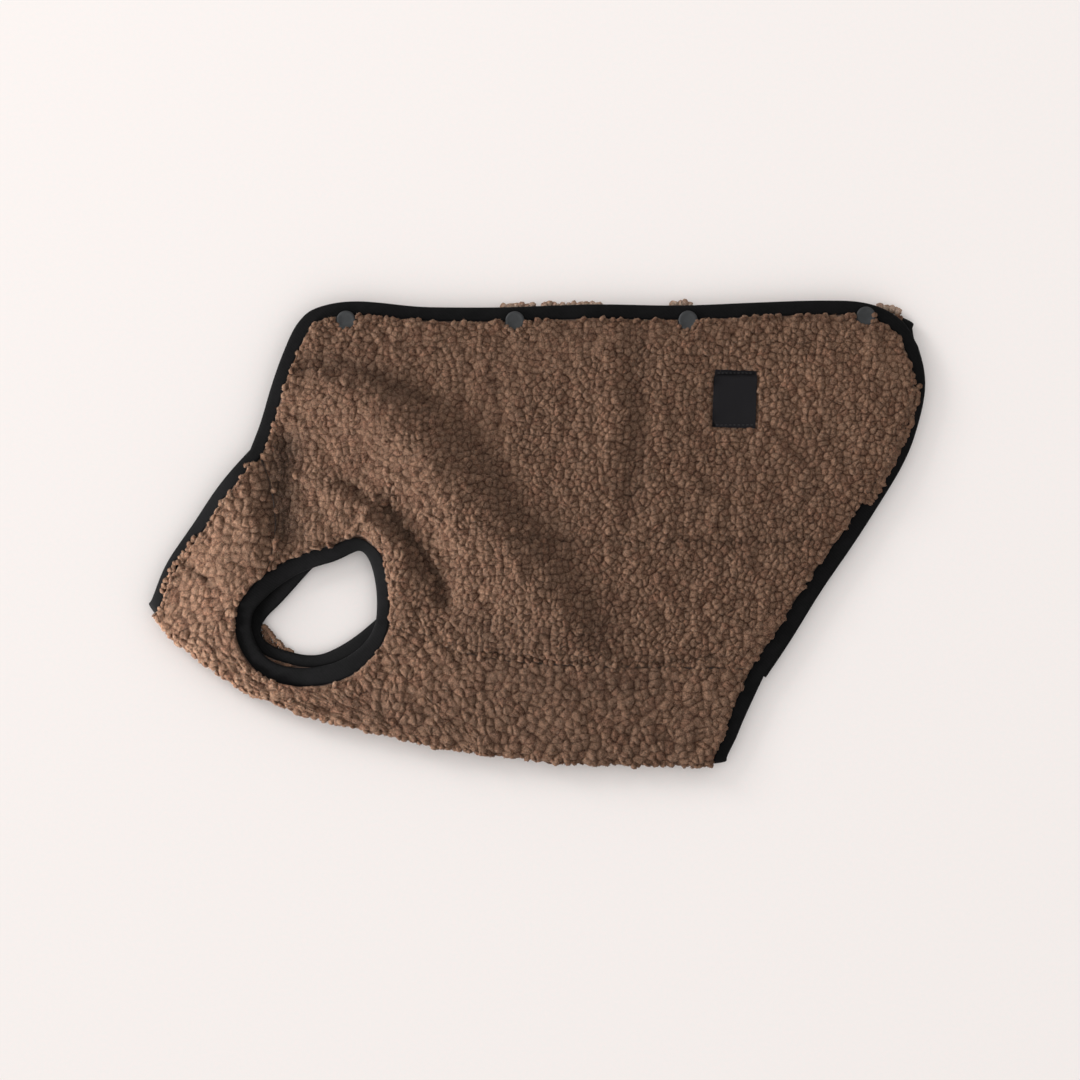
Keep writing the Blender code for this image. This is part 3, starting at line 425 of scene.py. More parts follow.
def labelSatin():
    # woven polyester label, damask: close flat threads with a soft shine
    material, tree, place = newMaterial("damaskWovenLabel")
    warp, weft = (addNode(tree, "ShaderNodeTexWave", {"Vector": place, "Scale": scale, "Distortion": 0.3},
                          bands_direction=way).outputs["Fac"]
                  for scale, way in ((520.0, "X"), (700.0, "Y")))  # threads 0.6 mm apart, coarser than real
    weave = addNode(tree, "ShaderNodeMath", {0: warp, 1: weft}, operation="ADD")
    half = addNode(tree, "ShaderNodeMath", {0: weave, 1: 0.5}, operation="MULTIPLY")
    color = ramp(tree, half, ((0.0, "#0a090b"), (1.0, "#151316")))
    bump = addNode(tree, "ShaderNodeBump", {"Height": weave, "Strength": 0.35, "Distance": 0.15 * mm})
    finishMaterial(tree, color, bump, {"Roughness": 0.75, "Specular IOR Level": 0.12, "Sheen Weight": 0.03})
    return material


def snapPlastic():
    # acetal snap cap, moulded and lightly textured: dark grey, satin
    material, tree, place = newMaterial("mouldedAcetalSnap")
    grain = addNode(tree, "ShaderNodeTexNoise",
                    {"Vector": place, "Scale": 2600.0, "Detail": 2.0})  # grain 0.4 mm wide
    smear = addNode(tree, "ShaderNodeTexNoise", {"Vector": place, "Scale": 260.0, "Detail": 3.0})
    color = ramp(tree, smear, ((0.3, "#212223"), (0.7, "#292a2b")))
    bump = addNode(tree, "ShaderNodeBump",
                   {"Height": grain, "Strength": 0.25, "Distance": 0.05 * mm})
    finishMaterial(tree, color, bump, {"Roughness": 0.5, "IOR": 1.48, "Specular IOR Level": 0.35})
    return material


def sewingThread():
    # core-spun polyester thread: black, with the twist of its plies
    material, tree, place = newMaterial("polyesterSewingThread")
    twist = addNode(tree, "ShaderNodeTexWave", {"Vector": place, "Scale": 900.0}, bands_direction="DIAGONAL")
    color = ramp(tree, twist.outputs["Fac"], ((0.0, "#131214"), (1.0, "#2b292c")))
    bump = addNode(tree, "ShaderNodeBump",
                   {"Height": twist.outputs["Fac"], "Strength": 0.4, "Distance": 0.1 * mm})
    finishMaterial(tree, color, bump, {"Roughness": 0.55, "Specular IOR Level": 0.4})
    return material


def paperFloor():
    # matt white paper sweep: even, with the faintest fibre
    material, tree, place = newMaterial("mattPaperSweep")
    fibre = addNode(tree, "ShaderNodeTexNoise", {"Vector": place, "Scale": 400.0, "Detail": 2.0})
    color = ramp(tree, fibre, ((0.3, studio["floorShade"]), (0.7, studio["floorColor"])))
    finishMaterial(tree, color, None, {"Roughness": 0.9, "Specular IOR Level": 0.1})
    return material


fleece = curlyFleece("curlyFleeceTufts", "tufts")
groundFleece = curlyFleece("curlyFleecePile", "cloth")
paintedLitFleece = curlyFleece("curlyFleeceLooseTufts", "tufts", "paintedLit")
backing = knitBacking()
tapeCloth = twillTape()
labelCloth = labelSatin()
plastic = snapPlastic()
thread = sewingThread()
bpy.ops.object.select_all(action="DESELECT")
bpy.ops.mesh.primitive_plane_add(size=studio["floorSize"], location=(0, 0, studio["floorHeight"]))
floor = bpy.context.object
floor.name = "floor"
floor.data.materials.append(paperFloor())
floor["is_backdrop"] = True
print("studio and materials ready")


# what a face sees: open air, or the rest of the coat

seesAir = {"reach": 60 * mm, "lift": 0.05 * mm, "skin": 3.0 * mm, "tries": 3, "upright": 0.4, "corner": 0.8}


def coatTree():
    places, faces, start = [], [], 0
    for node in nodes.values():
        places += [vertex.co for vertex in node.data.vertices]
        faces += [[start + i for i in face.vertices] for face in node.data.polygons]
        start = len(places)
    return BVHTree.FromPolygons(places, faces)


coat = coatTree()


def isOpen(start, way):
    for _ in range(seesAir["tries"]):
        start = start + way * seesAir["lift"]
        place, normal, _, distance = coat.ray_cast(start, way, seesAir["reach"])
        if place is None:
            return True
        if normal.dot(way) < 0 or distance > seesAir["skin"]:
            return False
        start = place  # the ray only left the face's own cloth
    return False


def markOpenFaces(obj):
    attribute = obj.data.attributes.get("openAir") or obj.data.attributes.new("openAir", "FLOAT", "FACE")
    first = not any(item.value for item in attribute.data)
    if first:
        attribute.data.foreach_set("value", [1.0] * len(attribute.data))
    before = faceValues(obj, "openAir") > 0.5
    corners = obj.data.vertices

    def freeAbove(face):
        spots = [face.center]
        if first:  # a large face may be covered at its middle alone
            spots += [face.center.lerp(corners[i].co, seesAir["corner"]) for i in face.vertices]
        return face.normal.z > seesAir["upright"] and any(isOpen(spot, Vector((0, 0, 1))) for spot in spots)

    openFaces = [before[face.index] and (isOpen(face.center, face.normal) or freeAbove(face))
                 for face in obj.data.polygons]
    obj.data.attributes["openAir"].data.foreach_set("value", [1.0 if o else 0.0 for o in openFaces])


# the three pile panels: ground cloth first

pileGround = {
    "smoothLevels": 1, "sharp": 50, "cornerCrease": 0.75, "cuts": 4,
    "topEdge": 1.18 * mm, "underEdge": 2.6 * mm,  # open faces are cut until they are about this wide
}


def clumpTree(size):
    tree, start = newGeometry("tuftedPile")
    place = addNode(tree, "GeometryNodeInputPosition")
    scaled = addNode(tree, "ShaderNodeVectorMath", {0: place, "Scale": 1 / size}, operation="SCALE")
    kept = addNode(tree, "GeometryNodeStoreNamedAttribute",
                   {"Geometry": start, "Name": "pilePlace", "Value": scaled},
                   data_type="FLOAT_VECTOR", domain="POINT")
    normal = addNode(tree, "GeometryNodeInputNormal")
    openAir = addNode(tree, "GeometryNodeInputNamedAttribute", {"Name": "openAir"}, data_type="FLOAT")
    dome, curl, _ = tuftPattern(tree, scaled)
    tip = addNode(tree, "ShaderNodeMapRange", {"Value": dome, "From Min": -0.35, "From Max": 0.95})
    tip = addNode(tree, "ShaderNodeMath", {0: tip, 1: openAir}, operation="MULTIPLY")
    kept = addNode(tree, "GeometryNodeStoreNamedAttribute", {"Geometry": kept, "Name": "tip", "Value": tip},
                   data_type="FLOAT", domain="POINT")
    clump = addNode(tree, "ShaderNodeTexNoise",
                    {"Vector": scaled, "Scale": 1 / tufts["clumpSize"], "Detail": 1.0})
    rise = addNode(tree, "ShaderNodeMapRange", {"Value": clump, "From Min": 0.3, "From Max": 0.7,
                                                "To Min": -tufts["clumpRise"], "To Max": tufts["clumpRise"]})
    for part, share in ((dome, tufts["rise"]), (curl, tufts["smallRise"])):
        rise = addNode(tree, "ShaderNodeMath", {0: part, 1: share, 2: rise}, operation="MULTIPLY_ADD")
    # flat round the label and the snap caps
    bare = addNode(tree, "GeometryNodeObjectInfo", {"Object": bareSpots}, transform_space="RELATIVE")
    near = addNode(tree, "GeometryNodeProximity", {0: bare.outputs["Geometry"]}, target_element="FACES")
    clear = addNode(tree, "ShaderNodeMapRange", {"Value": near.outputs["Distance"],
                                                 "From Min": tufts["bareFrom"], "From Max": tufts["bareTo"]})
    sink = tufts["bareSink"]
    rise = addNode(tree, "ShaderNodeMath", {0: rise, 1: sink}, operation="ADD")
    rise = addNode(tree, "ShaderNodeMath", {0: rise, 1: clear, 2: -sink}, operation="MULTIPLY_ADD")
    up = addNode(tree, "ShaderNodeSeparateXYZ", {0: normal}).outputs["Z"]
    side = addNode(tree, "ShaderNodeMapRange", {"Value": up, "From Min": tufts["foldFrom"],
                                                "From Max": tufts["foldTo"]})
    rise = addNode(tree, "ShaderNodeMath", {0: side, 1: -tufts["foldSink"], 2: rise},
                   operation="MULTIPLY_ADD")
    rise = addNode(tree, "ShaderNodeMath", {0: rise, 1: openAir}, operation="MULTIPLY")
    # underneath, the tufts are pressed flat on the ground: only the gaps between them go up
    down = addNode(tree, "ShaderNodeMapRange", {"Value": up, "From Min": -0.2, "From Max": -0.8})
    rise = addNode(tree, "ShaderNodeMath", {0: down, 1: -tufts["underPress"] * tufts["rise"], 2: rise},
                   operation="MULTIPLY_ADD")
    offset = addNode(tree, "ShaderNodeVectorMath", {0: normal, "Scale": rise}, operation="SCALE")
    moved = addNode(tree, "GeometryNodeSetPosition", {"Geometry": kept, "Offset": offset})
    addNode(tree, "NodeGroupOutput", {"Geometry": heldOffFloor(tree, moved)})
    return tree


creases = {
    # lines in millimetres seen from above; the pile is pressed to this depth, so far to each side; the last
    # value is painted shade, how much darker the colour gets there (below zero, painted light)
    "chest": (((-233, -13), (-219, -24), (-205, -35)), 1.8, 1.8, 0.3),
    "crescent": (((-126, 34), (-104, 21), (-82, 0), (-63, -26), (-59, -43)), 3.0, 4.5, 0.3),
    "crescentDeep": (((-96, 18), (-80, -5), (-64, -38)), 1.0, 8.0, 0.35),
    "hollow": (((-162, 56), (-166, 26), (-163, 4)), 3.0, 12.5, 0.66),
    "topBand": (((-150, 110), (-125, 110), (-97, 99), (-70, 84)), 2.4, 9.0, 0.35),
    "ridge": (((-147, 88), (-108, 80), (-76, 55), (-56, 22), (-48, -16), (-42, -42)), -1.6, 9.0, 0),
    "besideRidge": (((-44, 62), (-8, 10), (22, -28), (46, -62)), 2.0, 15.0, 0.22),
    "stored": (((-19, -3), (60, -4), (178, -4)), 1.0, 3.0, 0.22),
    "band": (((64, 130), (66, 60), (62, 20)), 1.6, 9.0, 0.2),
    "seam": (((-44, -75), (12, -82), (58, -85), (122, -78)), 0.8, 2.0, 0.3),
    "lowBelly": (((-20, -98), (30, -99), (70, -96)), 0, 17.0, 0.2),
    "belowRidge": (((-40, -64), (0, -66), (36, -70)), 0, 16.0, 0.2),
    "fold": (((-120, -112), (0, -132), (90, -138)), 0, 16.0, 0.14),
    "rear": (((150, 100), (222, 108), (226, 60)), 0, 32.0, -0.16),  # painted light: lighter here
    "besideBand": (((46, 130), (46, 50)), 0, 6.0, -0.1),
}


def pressCreases(piece):
    places = points(piece)
    opened = np.zeros(len(places))
    values = faceValues(piece, "openAir")
    for face in piece.data.polygons:
        if values[face.index] > 0.5 and face.normal.z > 0.3:
            opened[list(face.vertices)] = 1
    closed = np.ones(len(places))
    for line, depth, width, shade in creases.values():
        line = np.array(line) * mm
        nearest = np.full(len(places), 1.0)
        for a, b in zip(line[:-1], line[1:]):
            share = np.clip(((places[:, :2] - a) @ (b - a)) / ((b - a) @ (b - a)), 0, 1)
            nearest = np.minimum(nearest, np.hypot(*(places[:, :2] - a - share[:, None] * (b - a)).T))
        press = np.exp(-(nearest / (width * mm)) ** 2)
        places[:, 2] -= opened * depth * mm * press
        # painted shade: a factor on the colour, above one where it is painted light
        closed *= 1 - shade * press
    setPoints(piece, places)
    keepPointValues(piece, "closed", closed)


bareSpots = joinedCopy([n for n in nodes if n.startswith("snap_cap") or n == "woven_label"], "bareSpots")


def pilePanel(node, name, size):
    piece = copyOfNode(node, name)
    creaseSharp(piece, pileGround["sharp"], pileGround["cornerCrease"])
    markOpenFaces(piece)
    smooth(piece, pileGround["smoothLevels"])
    limits = [(1.35 * pileGround[side]) ** 2 for side in ("underEdge", "topEdge")]
    for _ in range(pileGround["cuts"]):
        openFaces = faceValues(piece, "openAir") > 0.5
        facesSelected(piece, lambda face: openFaces[face.index] and face.area > limits[face.normal.z > -0.5])
        pick(piece)
        bpy.ops.object.mode_set(mode="EDIT")
        bpy.ops.mesh.select_mode(type="FACE")
        bpy.ops.mesh.subdivide(number_cuts=1, smoothness=0.0, ngon=False)
        editDone()
    markOpenFaces(piece)
    pressCreases(piece)
    runGeometry(piece, clumpTree(size))
    bpy.ops.object.shade_smooth()
    finishPiece(piece, groundFleece, node)
    piece.data.materials.append(backing)
    openFaces = faceValues(piece, "openAir") > 0.5
    piece.data.polygons.foreach_set("material_index", [0 if o else 1 for o in openFaces])
    return piece


sideLeftPile = pilePanel("side_left", "sideLeftPile", tufts["sideSize"])
bellyPile = pilePanel("belly_panel", "bellyPile", tufts["bellySize"])
sideRightPile = pilePanel("side_right", "sideRightPile", tufts["sideSize"])


# loose tufts along the tapes, the seam and the folds: a few made one by one and then scattered

knots = {
    "count": 8, "sides": 8, "rings": 5, "lumpSize": 0.8, "lumpRise": 0.5, "cut": -0.3, "sink": 0.45,
    "radius": 2.8 * mm, "smallest": 0.65, "largest": 1.2, "flatness": 0.85, "lean": 0.6, "spin": 3.14,
    "spacing": 2.8 * mm, "nearEdge": 2.2 * mm, "clearOfCaps": 0.9 * mm, "steep": 0.7, "under": 12 * mm,
}


def knotShapes(name):
    collection = bpy.data.collections.new(name)
    lumps = bpy.data.textures.new("lumps", "VORONOI")
    lumps.noise_scale, lumps.distance_metric = knots["lumpSize"], "DISTANCE"
    for i in range(knots["count"]):
        bpy.ops.object.select_all(action="DESELECT")
        bpy.ops.mesh.primitive_uv_sphere_add(segments=knots["sides"], ring_count=knots["rings"], radius=1)
        knot = bpy.context.object
        knot.name = f"{name}{i}"
        setPoints(knot, points(knot) + (3 * i, 0, 0))  # each knot takes its own stretch of the lumps
        displace = knot.modifiers.new("lumps", "DISPLACE")
        displace.texture, displace.texture_coords = lumps, "LOCAL"
        displace.strength, displace.mid_level = -knots["lumpRise"], 0.4
        applyAll(knot)
        setPoints(knot, points(knot) - (3 * i, 0, 0))
        editAll(knot)
        bpy.ops.mesh.bisect(plane_co=(0, 0, knots["cut"]), plane_no=(0, 0, 1), clear_inner=True,
                            use_fill=True)
        bpy.ops.mesh.select_all(action="SELECT")
        bpy.ops.transform.translate(value=(0, 0, -knots["sink"]))
        editDone()
        putInOrder(knot)
        bpy.ops.object.shade_smooth()
        # painted shade: each tuft is darker low down, lighter at its top
        keepPointValues(knot, "tip", np.clip(points(knot)[:, 2] + 0.5, 0, 1))
        takeOut(knot)
        collection.objects.link(knot)
    return collection


roundKnots = knotShapes("roundKnot")


def leaning(tree, facing, most, seed):
    high = (most["lean"], most["lean"], most["spin"])
    lean = addNode(tree, "FunctionNodeRandomValue", {"Min": [-h for h in high], "Max": high, "Seed": seed},
                   data_type="FLOAT_VECTOR")
    return addNode(tree, "FunctionNodeRotateRotation", {0: facing, 1: lean}, rotation_space="LOCAL")


def putTufts(tree, spots, facing, radius, seed):
    shape = addNode(tree, "GeometryNodeCollectionInfo",
                    {"Collection": roundKnots, "Separate Children": True, "Reset Children": True})
    low, high, flatness = knots["smallest"] * radius, knots["largest"] * radius, knots["flatness"]
    size = addNode(tree, "FunctionNodeRandomValue",
                   {"Min": (low, low, low * flatness), "Max": (high, high, high * flatness),
                    "Seed": seed + 2}, data_type="FLOAT_VECTOR")
    placed = addNode(tree, "GeometryNodeInstanceOnPoints",
                     {"Points": spots, "Instance": shape, "Pick Instance": True,
                      "Rotation": leaning(tree, facing, knots, seed + 1), "Scale": size})
    tint = addNode(tree, "FunctionNodeRandomValue", {2: 0.0, 3: 1.0, "Seed": seed + 3}, data_type="FLOAT")
    tinted = addNode(tree, "GeometryNodeStoreNamedAttribute",
                     {"Geometry": placed, "Name": "tint", "Value": tint.outputs[1]},
                     data_type="FLOAT", domain="INSTANCE")
    real = addNode(tree, "GeometryNodeRealizeInstances", {0: tinted})
    addNode(tree, "NodeGroupOutput", {"Geometry": heldOffFloor(tree, real)})


def knotTree(name, edges, seed):
    tree, start = newGeometry(name)
    openAir = addNode(tree, "GeometryNodeInputNamedAttribute", {"Name": "openAir"}, data_type="FLOAT")
    up = addNode(tree, "ShaderNodeSeparateXYZ", {0: addNode(tree, "GeometryNodeInputNormal")}).outputs["Z"]
    top = addNode(tree, "FunctionNodeCompare", {0: up, 1: -0.5}, operation="GREATER_THAN")
    steep = addNode(tree, "FunctionNodeCompare", {0: up, 1: knots["steep"]}, operation="LESS_THAN")
    opened = addNode(tree, "FunctionNodeCompare", {0: openAir, 1: 0.5}, operation="GREATER_THAN")
    gaps = []
    for obj in (bareSpots, edges):
        spot = addNode(tree, "GeometryNodeObjectInfo", {"Object": obj}, transform_space="RELATIVE")
        gaps.append(addNode(tree, "GeometryNodeProximity", {0: spot.outputs["Geometry"]},
                            target_element="FACES").outputs["Distance"])
    clear = addNode(tree, "FunctionNodeCompare", {0: gaps[0], 1: knots["clearOfCaps"]},
                    operation="GREATER_THAN")
    near = addNode(tree, "ShaderNodeMath", {0: gaps[0], 1: gaps[1]}, operation="MINIMUM")
    near = addNode(tree, "FunctionNodeCompare", {0: near, 1: knots["nearEdge"]}, operation="LESS_THAN")
    under = addNode(tree, "GeometryNodeRaycast",  # spot is still the one of the edges
                    {"Target Geometry": spot.outputs["Geometry"],
                     "Source Position": addNode(tree, "GeometryNodeInputPosition"),
                     "Ray Direction": (0, 0, 1), "Ray Length": knots["under"]}).outputs["Is Hit"]
    free = addNode(tree, "FunctionNodeBooleanMath", {0: under}, operation="NOT")
    chosen = addNode(tree, "FunctionNodeBooleanMath", {0: near, 1: steep}, operation="OR")
    for test in (top, opened, clear, free):
        chosen = addNode(tree, "FunctionNodeBooleanMath", {0: chosen, 1: test}, operation="AND")
    spots = addNode(tree, "GeometryNodeDistributePointsOnFaces",
                    {"Mesh": start, "Selection": chosen, "Distance Min": knots["spacing"],
                     "Density Max": 14.0 / knots["spacing"] ** 2, "Seed": seed}, distribute_method="POISSON")
    putTufts(tree, spots.outputs["Points"], spots.outputs["Rotation"], knots["radius"], seed)
    return tree


# rows of tufts where the pile stands out, in millimetres: from, to, height, how many, radius; a height below
# 2 is above the coat
standingTufts = {
    "sideLeftTuftsAtCaps": [],
    "sideLeftTuftsAtHem": [
        ((247, 97), (242, 71.5), 0.9, 12, 2.6), ((242, 71.5), (231.3, 50.7), 0.9, 11, 2.6),
        ((231.3, 50.7), (224, 34.4), 0.9, 8, 2.6), ((224, 34.4), (215, 20), 0.9, 7, 2.4),
        ((244.2, 96.5), (239.2, 72.3), 0.9, 11, 2.8), ((239.2, 72.3), (228.8, 52), 0.9, 10, 2.8),
        ((228.8, 52), (221.5, 35.8), 0.9, 8, 2.8), ((221.5, 35.8), (212.5, 21), 0.9, 7, 2.6)],
    "bellyTuftsAtSeam": [((-93, -59), (-49.8, -75.1), 0.0, 21, 2.1)],
    "bellyTuftsAtNeck": [
        ((-220, -1.5), (-235, -21), 0.9, 11, 2.2), ((-235, -21), (-242.4, -36.9), 0.9, 8, 2.2)],
    "sideRightTuftsAtFold": [
        ((-23, 147.6), (-2, 148.2), 5.6, 7, 3.2), ((4, 148.4), (43, 148.8), 6.0, 13, 3.2),
        ((87, 149.0), (101, 149.2), 6.0, 5, 3.2), ((221, 147.8), (235, 145.4), 5.6, 5, 3.0)],
    "bellyTuftsInOpening": [
        ((-176.8, -58.5), (-172.5, -64.5), 3.6, 5, 2.2), ((-172.5, -64.5), (-166, -72), 3.6, 6, 2.2),
        ((-166, -72), (-158, -77), 3.6, 6, 2.0), ((-177.5, -62), (-174, -69), 3.0, 5, 2.2),
        ((-174, -69), (-162, -78.5), 3.0, 8, 2.2), ((-177.5, -66), (-170, -77), 2.6, 7, 2.2)],
}
capTufts = {
    "angles": (-158, -132, -108, -84, -60, -38, -16), "turn": 5, "clear": 0.4, "rise": 0.2, "radius": 2.0,
}
for number in range(1, 5):
    low, high = (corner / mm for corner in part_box(f"snap_cap_{number}"))
    middle, reach = (low + high) / 2, (high.x - low.x) / 2 + capTufts["clear"]
    for angle in capTufts["angles"]:
        turnBy = math.radians(angle + capTufts["turn"] * number)
        spot = (middle.x + reach * math.cos(turnBy), middle.y + reach * math.sin(turnBy))
        standingTufts["sideLeftTuftsAtCaps"].append(
            (spot, spot, high.z + capTufts["rise"], 1, capTufts["radius"]))


def placedTufts(name, seed):
    chance = np.random.default_rng(seed)
    spots, sizes = [], []
    for first, last, height, count, radius in standingTufts[name]:
        for i in range(count):
            share = (i + 0.5) / count
            spot = [first[k] + share * (last[k] - first[k]) + chance.normal(0, 0.4) for k in (0, 1)]
            rise = height
            if height < 2:
                above = Vector((spot[0] * mm, spot[1] * mm, 0.1))
                rise += coat.ray_cast(above, Vector((0, 0, -1)))[0].z / mm
            spots.append(spot + [rise + chance.normal(0, 0.3)])
            sizes.append(radius)
    mesh = bpy.data.meshes.new(name)
    mesh.from_pydata([[c * mm for c in spot] for spot in spots], [], [])
    piece = newPiece(name, mesh)
    tree, start = newGeometry(name)
    ground = addNode(tree, "GeometryNodeMeshToPoints", {0: start})
    upright = addNode(tree, "FunctionNodeEulerToRotation", {0: (0, 0, 0)})
    putTufts(tree, ground, upright, float(np.mean(sizes)) * mm, seed)
    runGeometry(piece, tree)
    # the tufts along the top fold get the lighter copy of the fleece: painted light
    return finishPiece(piece, paintedLitFleece if name.endswith("Fold") else fleece)


def scatterKnots(panel, name, edgeNames, seed):
    edges = joinedCopy(edgeNames, "edges")
    piece = newPiece(name, panel.data.copy())
    runGeometry(piece, knotTree(name, edges, seed))
    bpy.data.objects.remove(edges)
    return finishPiece(piece, fleece)


fibres = {  # thickness, arch and root are shares of the half length
    "halfLength": 1.25 * mm, "thickness": 0.085, "arch": 0.34, "root": 0.08, "perArea": 0.24e6,
    "shortest": 0.65, "longest": 1.3, "lean": 0.3, "spin": 3.14, "tipFrom": 0.35,
}


def fibreShape():
    bpy.ops.object.select_all(action="DESELECT")
    bpy.ops.mesh.primitive_cone_add(vertices=3, radius1=fibres["thickness"], radius2=0, depth=1,
                                    end_fill_type="NGON", location=(0, 0, 0.5))
    fibre = bpy.context.object
    fibre.name = "fibre"
    facesSelected(fibre, lambda face: face.normal.z < -0.5)
    bpy.ops.object.mode_set(mode="EDIT")
    bpy.ops.mesh.poke(offset=1.0)
    bpy.ops.mesh.select_all(action="SELECT")
    bpy.ops.transform.rotate(value=math.pi / 2, orient_axis="Y", center_override=(0, 0, 0))
    editDone()
    pick(fibre)
    bpy.ops.object.transform_apply(location=True, rotation=True, scale=True)
    places = points(fibre)
    middle = np.abs(places[:, 0]) < 0.5
    places[:, 2] += np.where(middle, fibres["arch"], -fibres["root"])
    setPoints(fibre, places)
    bpy.ops.object.shade_smooth()
    # painted shade: each fibre is darker at its two ends, where it meets the pile
    keepPointValues(fibre, "tip", np.where(middle, 1.0, 0.7))
    takeOut(fibre)
    return fibre


fibreModel = fibreShape()


def fibreTree(name, seed):
    tree, start = newGeometry(name)
    half = fibres["halfLength"]
    tip = addNode(tree, "GeometryNodeInputNamedAttribute", {"Name": "tip"}, data_type="FLOAT")
    up = addNode(tree, "ShaderNodeSeparateXYZ", {0: addNode(tree, "GeometryNodeInputNormal")}).outputs["Z"]
    height = addNode(tree, "ShaderNodeSeparateXYZ",
                     {0: addNode(tree, "GeometryNodeInputPosition")}).outputs["Z"]
    chosen = True
    for value, least in ((tip, fibres["tipFrom"]), (up, -0.5), (height, fibres["longest"] * half)):
        above = addNode(tree, "FunctionNodeCompare", {0: value, 1: least}, operation="GREATER_THAN")
        chosen = addNode(tree, "FunctionNodeBooleanMath", {0: chosen, 1: above}, operation="AND")
    spots = addNode(tree, "GeometryNodeDistributePointsOnFaces",
                    {"Mesh": start, "Selection": chosen, "Density": fibres["perArea"], "Seed": seed})
    shape = addNode(tree, "GeometryNodeObjectInfo", {"Object": fibreModel, "As Instance": True})
    size = addNode(tree, "FunctionNodeRandomValue",
                   {2: fibres["shortest"] * half, 3: fibres["longest"] * half, "Seed": seed + 2},
                   data_type="FLOAT")
    placed = addNode(tree, "GeometryNodeInstanceOnPoints",
                     {"Points": spots, "Instance": shape.outputs["Geometry"],
                      "Rotation": leaning(tree, spots.outputs["Rotation"], fibres, seed + 1),
                      "Scale": size.outputs[1]})
    real = addNode(tree, "GeometryNodeRealizeInstances", {0: placed})
    addNode(tree, "NodeGroupOutput", {"Geometry": real})
    return tree


def scatterFibres(ground, name, seed):
    piece = newPiece(name, ground.data.copy())
    runGeometry(piece, fibreTree(name, seed))
    return finishPiece(piece, fleece)


tapeNames = [n for n in nodes if "_tape_" in n]
sideLeftKnots = [scatterKnots(sideLeftPile, "sideLeftTufts", tapeNames + ["belly_panel"], 21),
                 placedTufts("sideLeftTuftsAtCaps", 24), placedTufts("sideLeftTuftsAtHem", 25)]
bellyKnots = [scatterKnots(bellyPile, "bellyTufts", tapeNames + ["side_left"], 31),
              placedTufts("bellyTuftsInOpening", 34), placedTufts("bellyTuftsAtNeck", 35),
              placedTufts("bellyTuftsAtSeam", 36)]
sideRightKnots = [scatterKnots(sideRightPile, "sideRightTufts", tapeNames, 41),
                  placedTufts("sideRightTuftsAtFold", 44)]
bpy.data.objects.remove(bareSpots)
sideLeftKnots += [scatterFibres(sideLeftPile, "sideLeftFibres", 51),
                  scatterFibres(sideLeftKnots[0], "sideLeftTuftFibres", 61)]
bellyKnots += [scatterFibres(bellyPile, "bellyFibres", 71),
               scatterFibres(bellyKnots[0], "bellyTuftFibres", 81)]
sideRightKnots += [scatterFibres(sideRightPile, "sideRightFibres", 91),
                   scatterFibres(sideRightKnots[0], "sideRightTuftFibres", 101)]


# tapes

tapes = {
    "smoothLevels": 2, "sharp": 60, "crease": 0.35, "endReach": 0.3 * mm, "shadeAngle": 50,
    "endLimit": 1.6e-4, "flatWithin": 0.98, "sharpBelow": 0.5, "uprightBelow": 0.3,  # how cut ends are told
    # where one end laps over the other: the edge of the lap, the way along the tape, height, how far
    "laps": {"arm_tape_left": ((-97.0, -58.0), (-0.25, -0.97), 0.7 * mm, 14 * mm)},
    "lapReach": 12 * mm, "lapShadeAngle": 35,
}


def flatEnds(piece):
    # groups of faces bounded by sharp edges: the small flat ones are the cut ends of a tape
    faces = piece.data.polygons
    sharing = {}
    for face in faces:
        for key in face.edge_keys:
            sharing.setdefault(key, []).append(face.index)
    group = list(range(len(faces)))

    def rootOf(i):
        while group[i] != i:
            i = group[i]
        return i

    for pair in sharing.values():
        if len(pair) == 2 and faces[pair[0]].normal.dot(faces[pair[1]].normal) > tapes["flatWithin"]:
            group[rootOf(pair[0])] = rootOf(pair[1])
    members = {}
    for face in faces:
        members.setdefault(rootOf(face.index), []).append(face)
    ends = []
    for part in members.values():
        rim = [sharing[key] for face in part for key in face.edge_keys
               if any(rootOf(i) != rootOf(face.index) for i in sharing[key])]
        sharp = all(abs(faces[a].normal.dot(faces[b].normal)) < tapes["sharpBelow"] for a, b in rim)
        upright = abs(part[0].normal.z) < tapes["uprightBelow"]
        if sharp and upright and sum(face.area for face in part) < tapes["endLimit"]:
            ends.append(([v for face in part for v in face.vertices], np.array(part[0].normal)))
    return ends


def tapePiece(node, name):
    piece = copyOfNode(node, name)
    ends = flatEnds(piece)
    places = points(piece)
    for corners, outward in ends:
        places[list(set(corners))] += outward * tapes["endReach"]
    setPoints(piece, places)
    endCorners = {v for corners, _ in ends for v in corners}
    creaseSharp(piece, tapes["sharp"], tapes["crease"])
    facesSelected(piece, lambda face: False)
    piece.data.edges.foreach_set("select", [set(edge.vertices) <= endCorners for edge in piece.data.edges])
    pick(piece)
    bpy.ops.object.mode_set(mode="EDIT")
    bpy.ops.mesh.select_mode(type="EDGE")
    bpy.ops.transform.edge_crease(value=1.0)
    editDone()
    smooth(piece, tapes["smoothLevels"])
    if node in tapes["laps"]:
        edge, way, height, length = tapes["laps"][node]
        places = points(piece)
        offset = places[:, :2] - np.array(edge) * mm
        along = offset @ np.array(way)
        across = np.abs(offset @ np.array((-way[1], way[0])))
        lap = (along > 0) * np.clip(1 - along / length, 0, 1) * (across < tapes["lapReach"])
        places[:, 2] += height * lap * (places[:, 2] > np.median(places[:, 2]))
        setPoints(piece, places)
    angle = tapes["lapShadeAngle" if node in tapes["laps"] else "shadeAngle"]
    bpy.ops.object.shade_smooth_by_angle(angle=math.radians(angle))
    return finishPiece(piece, tapeCloth, node)


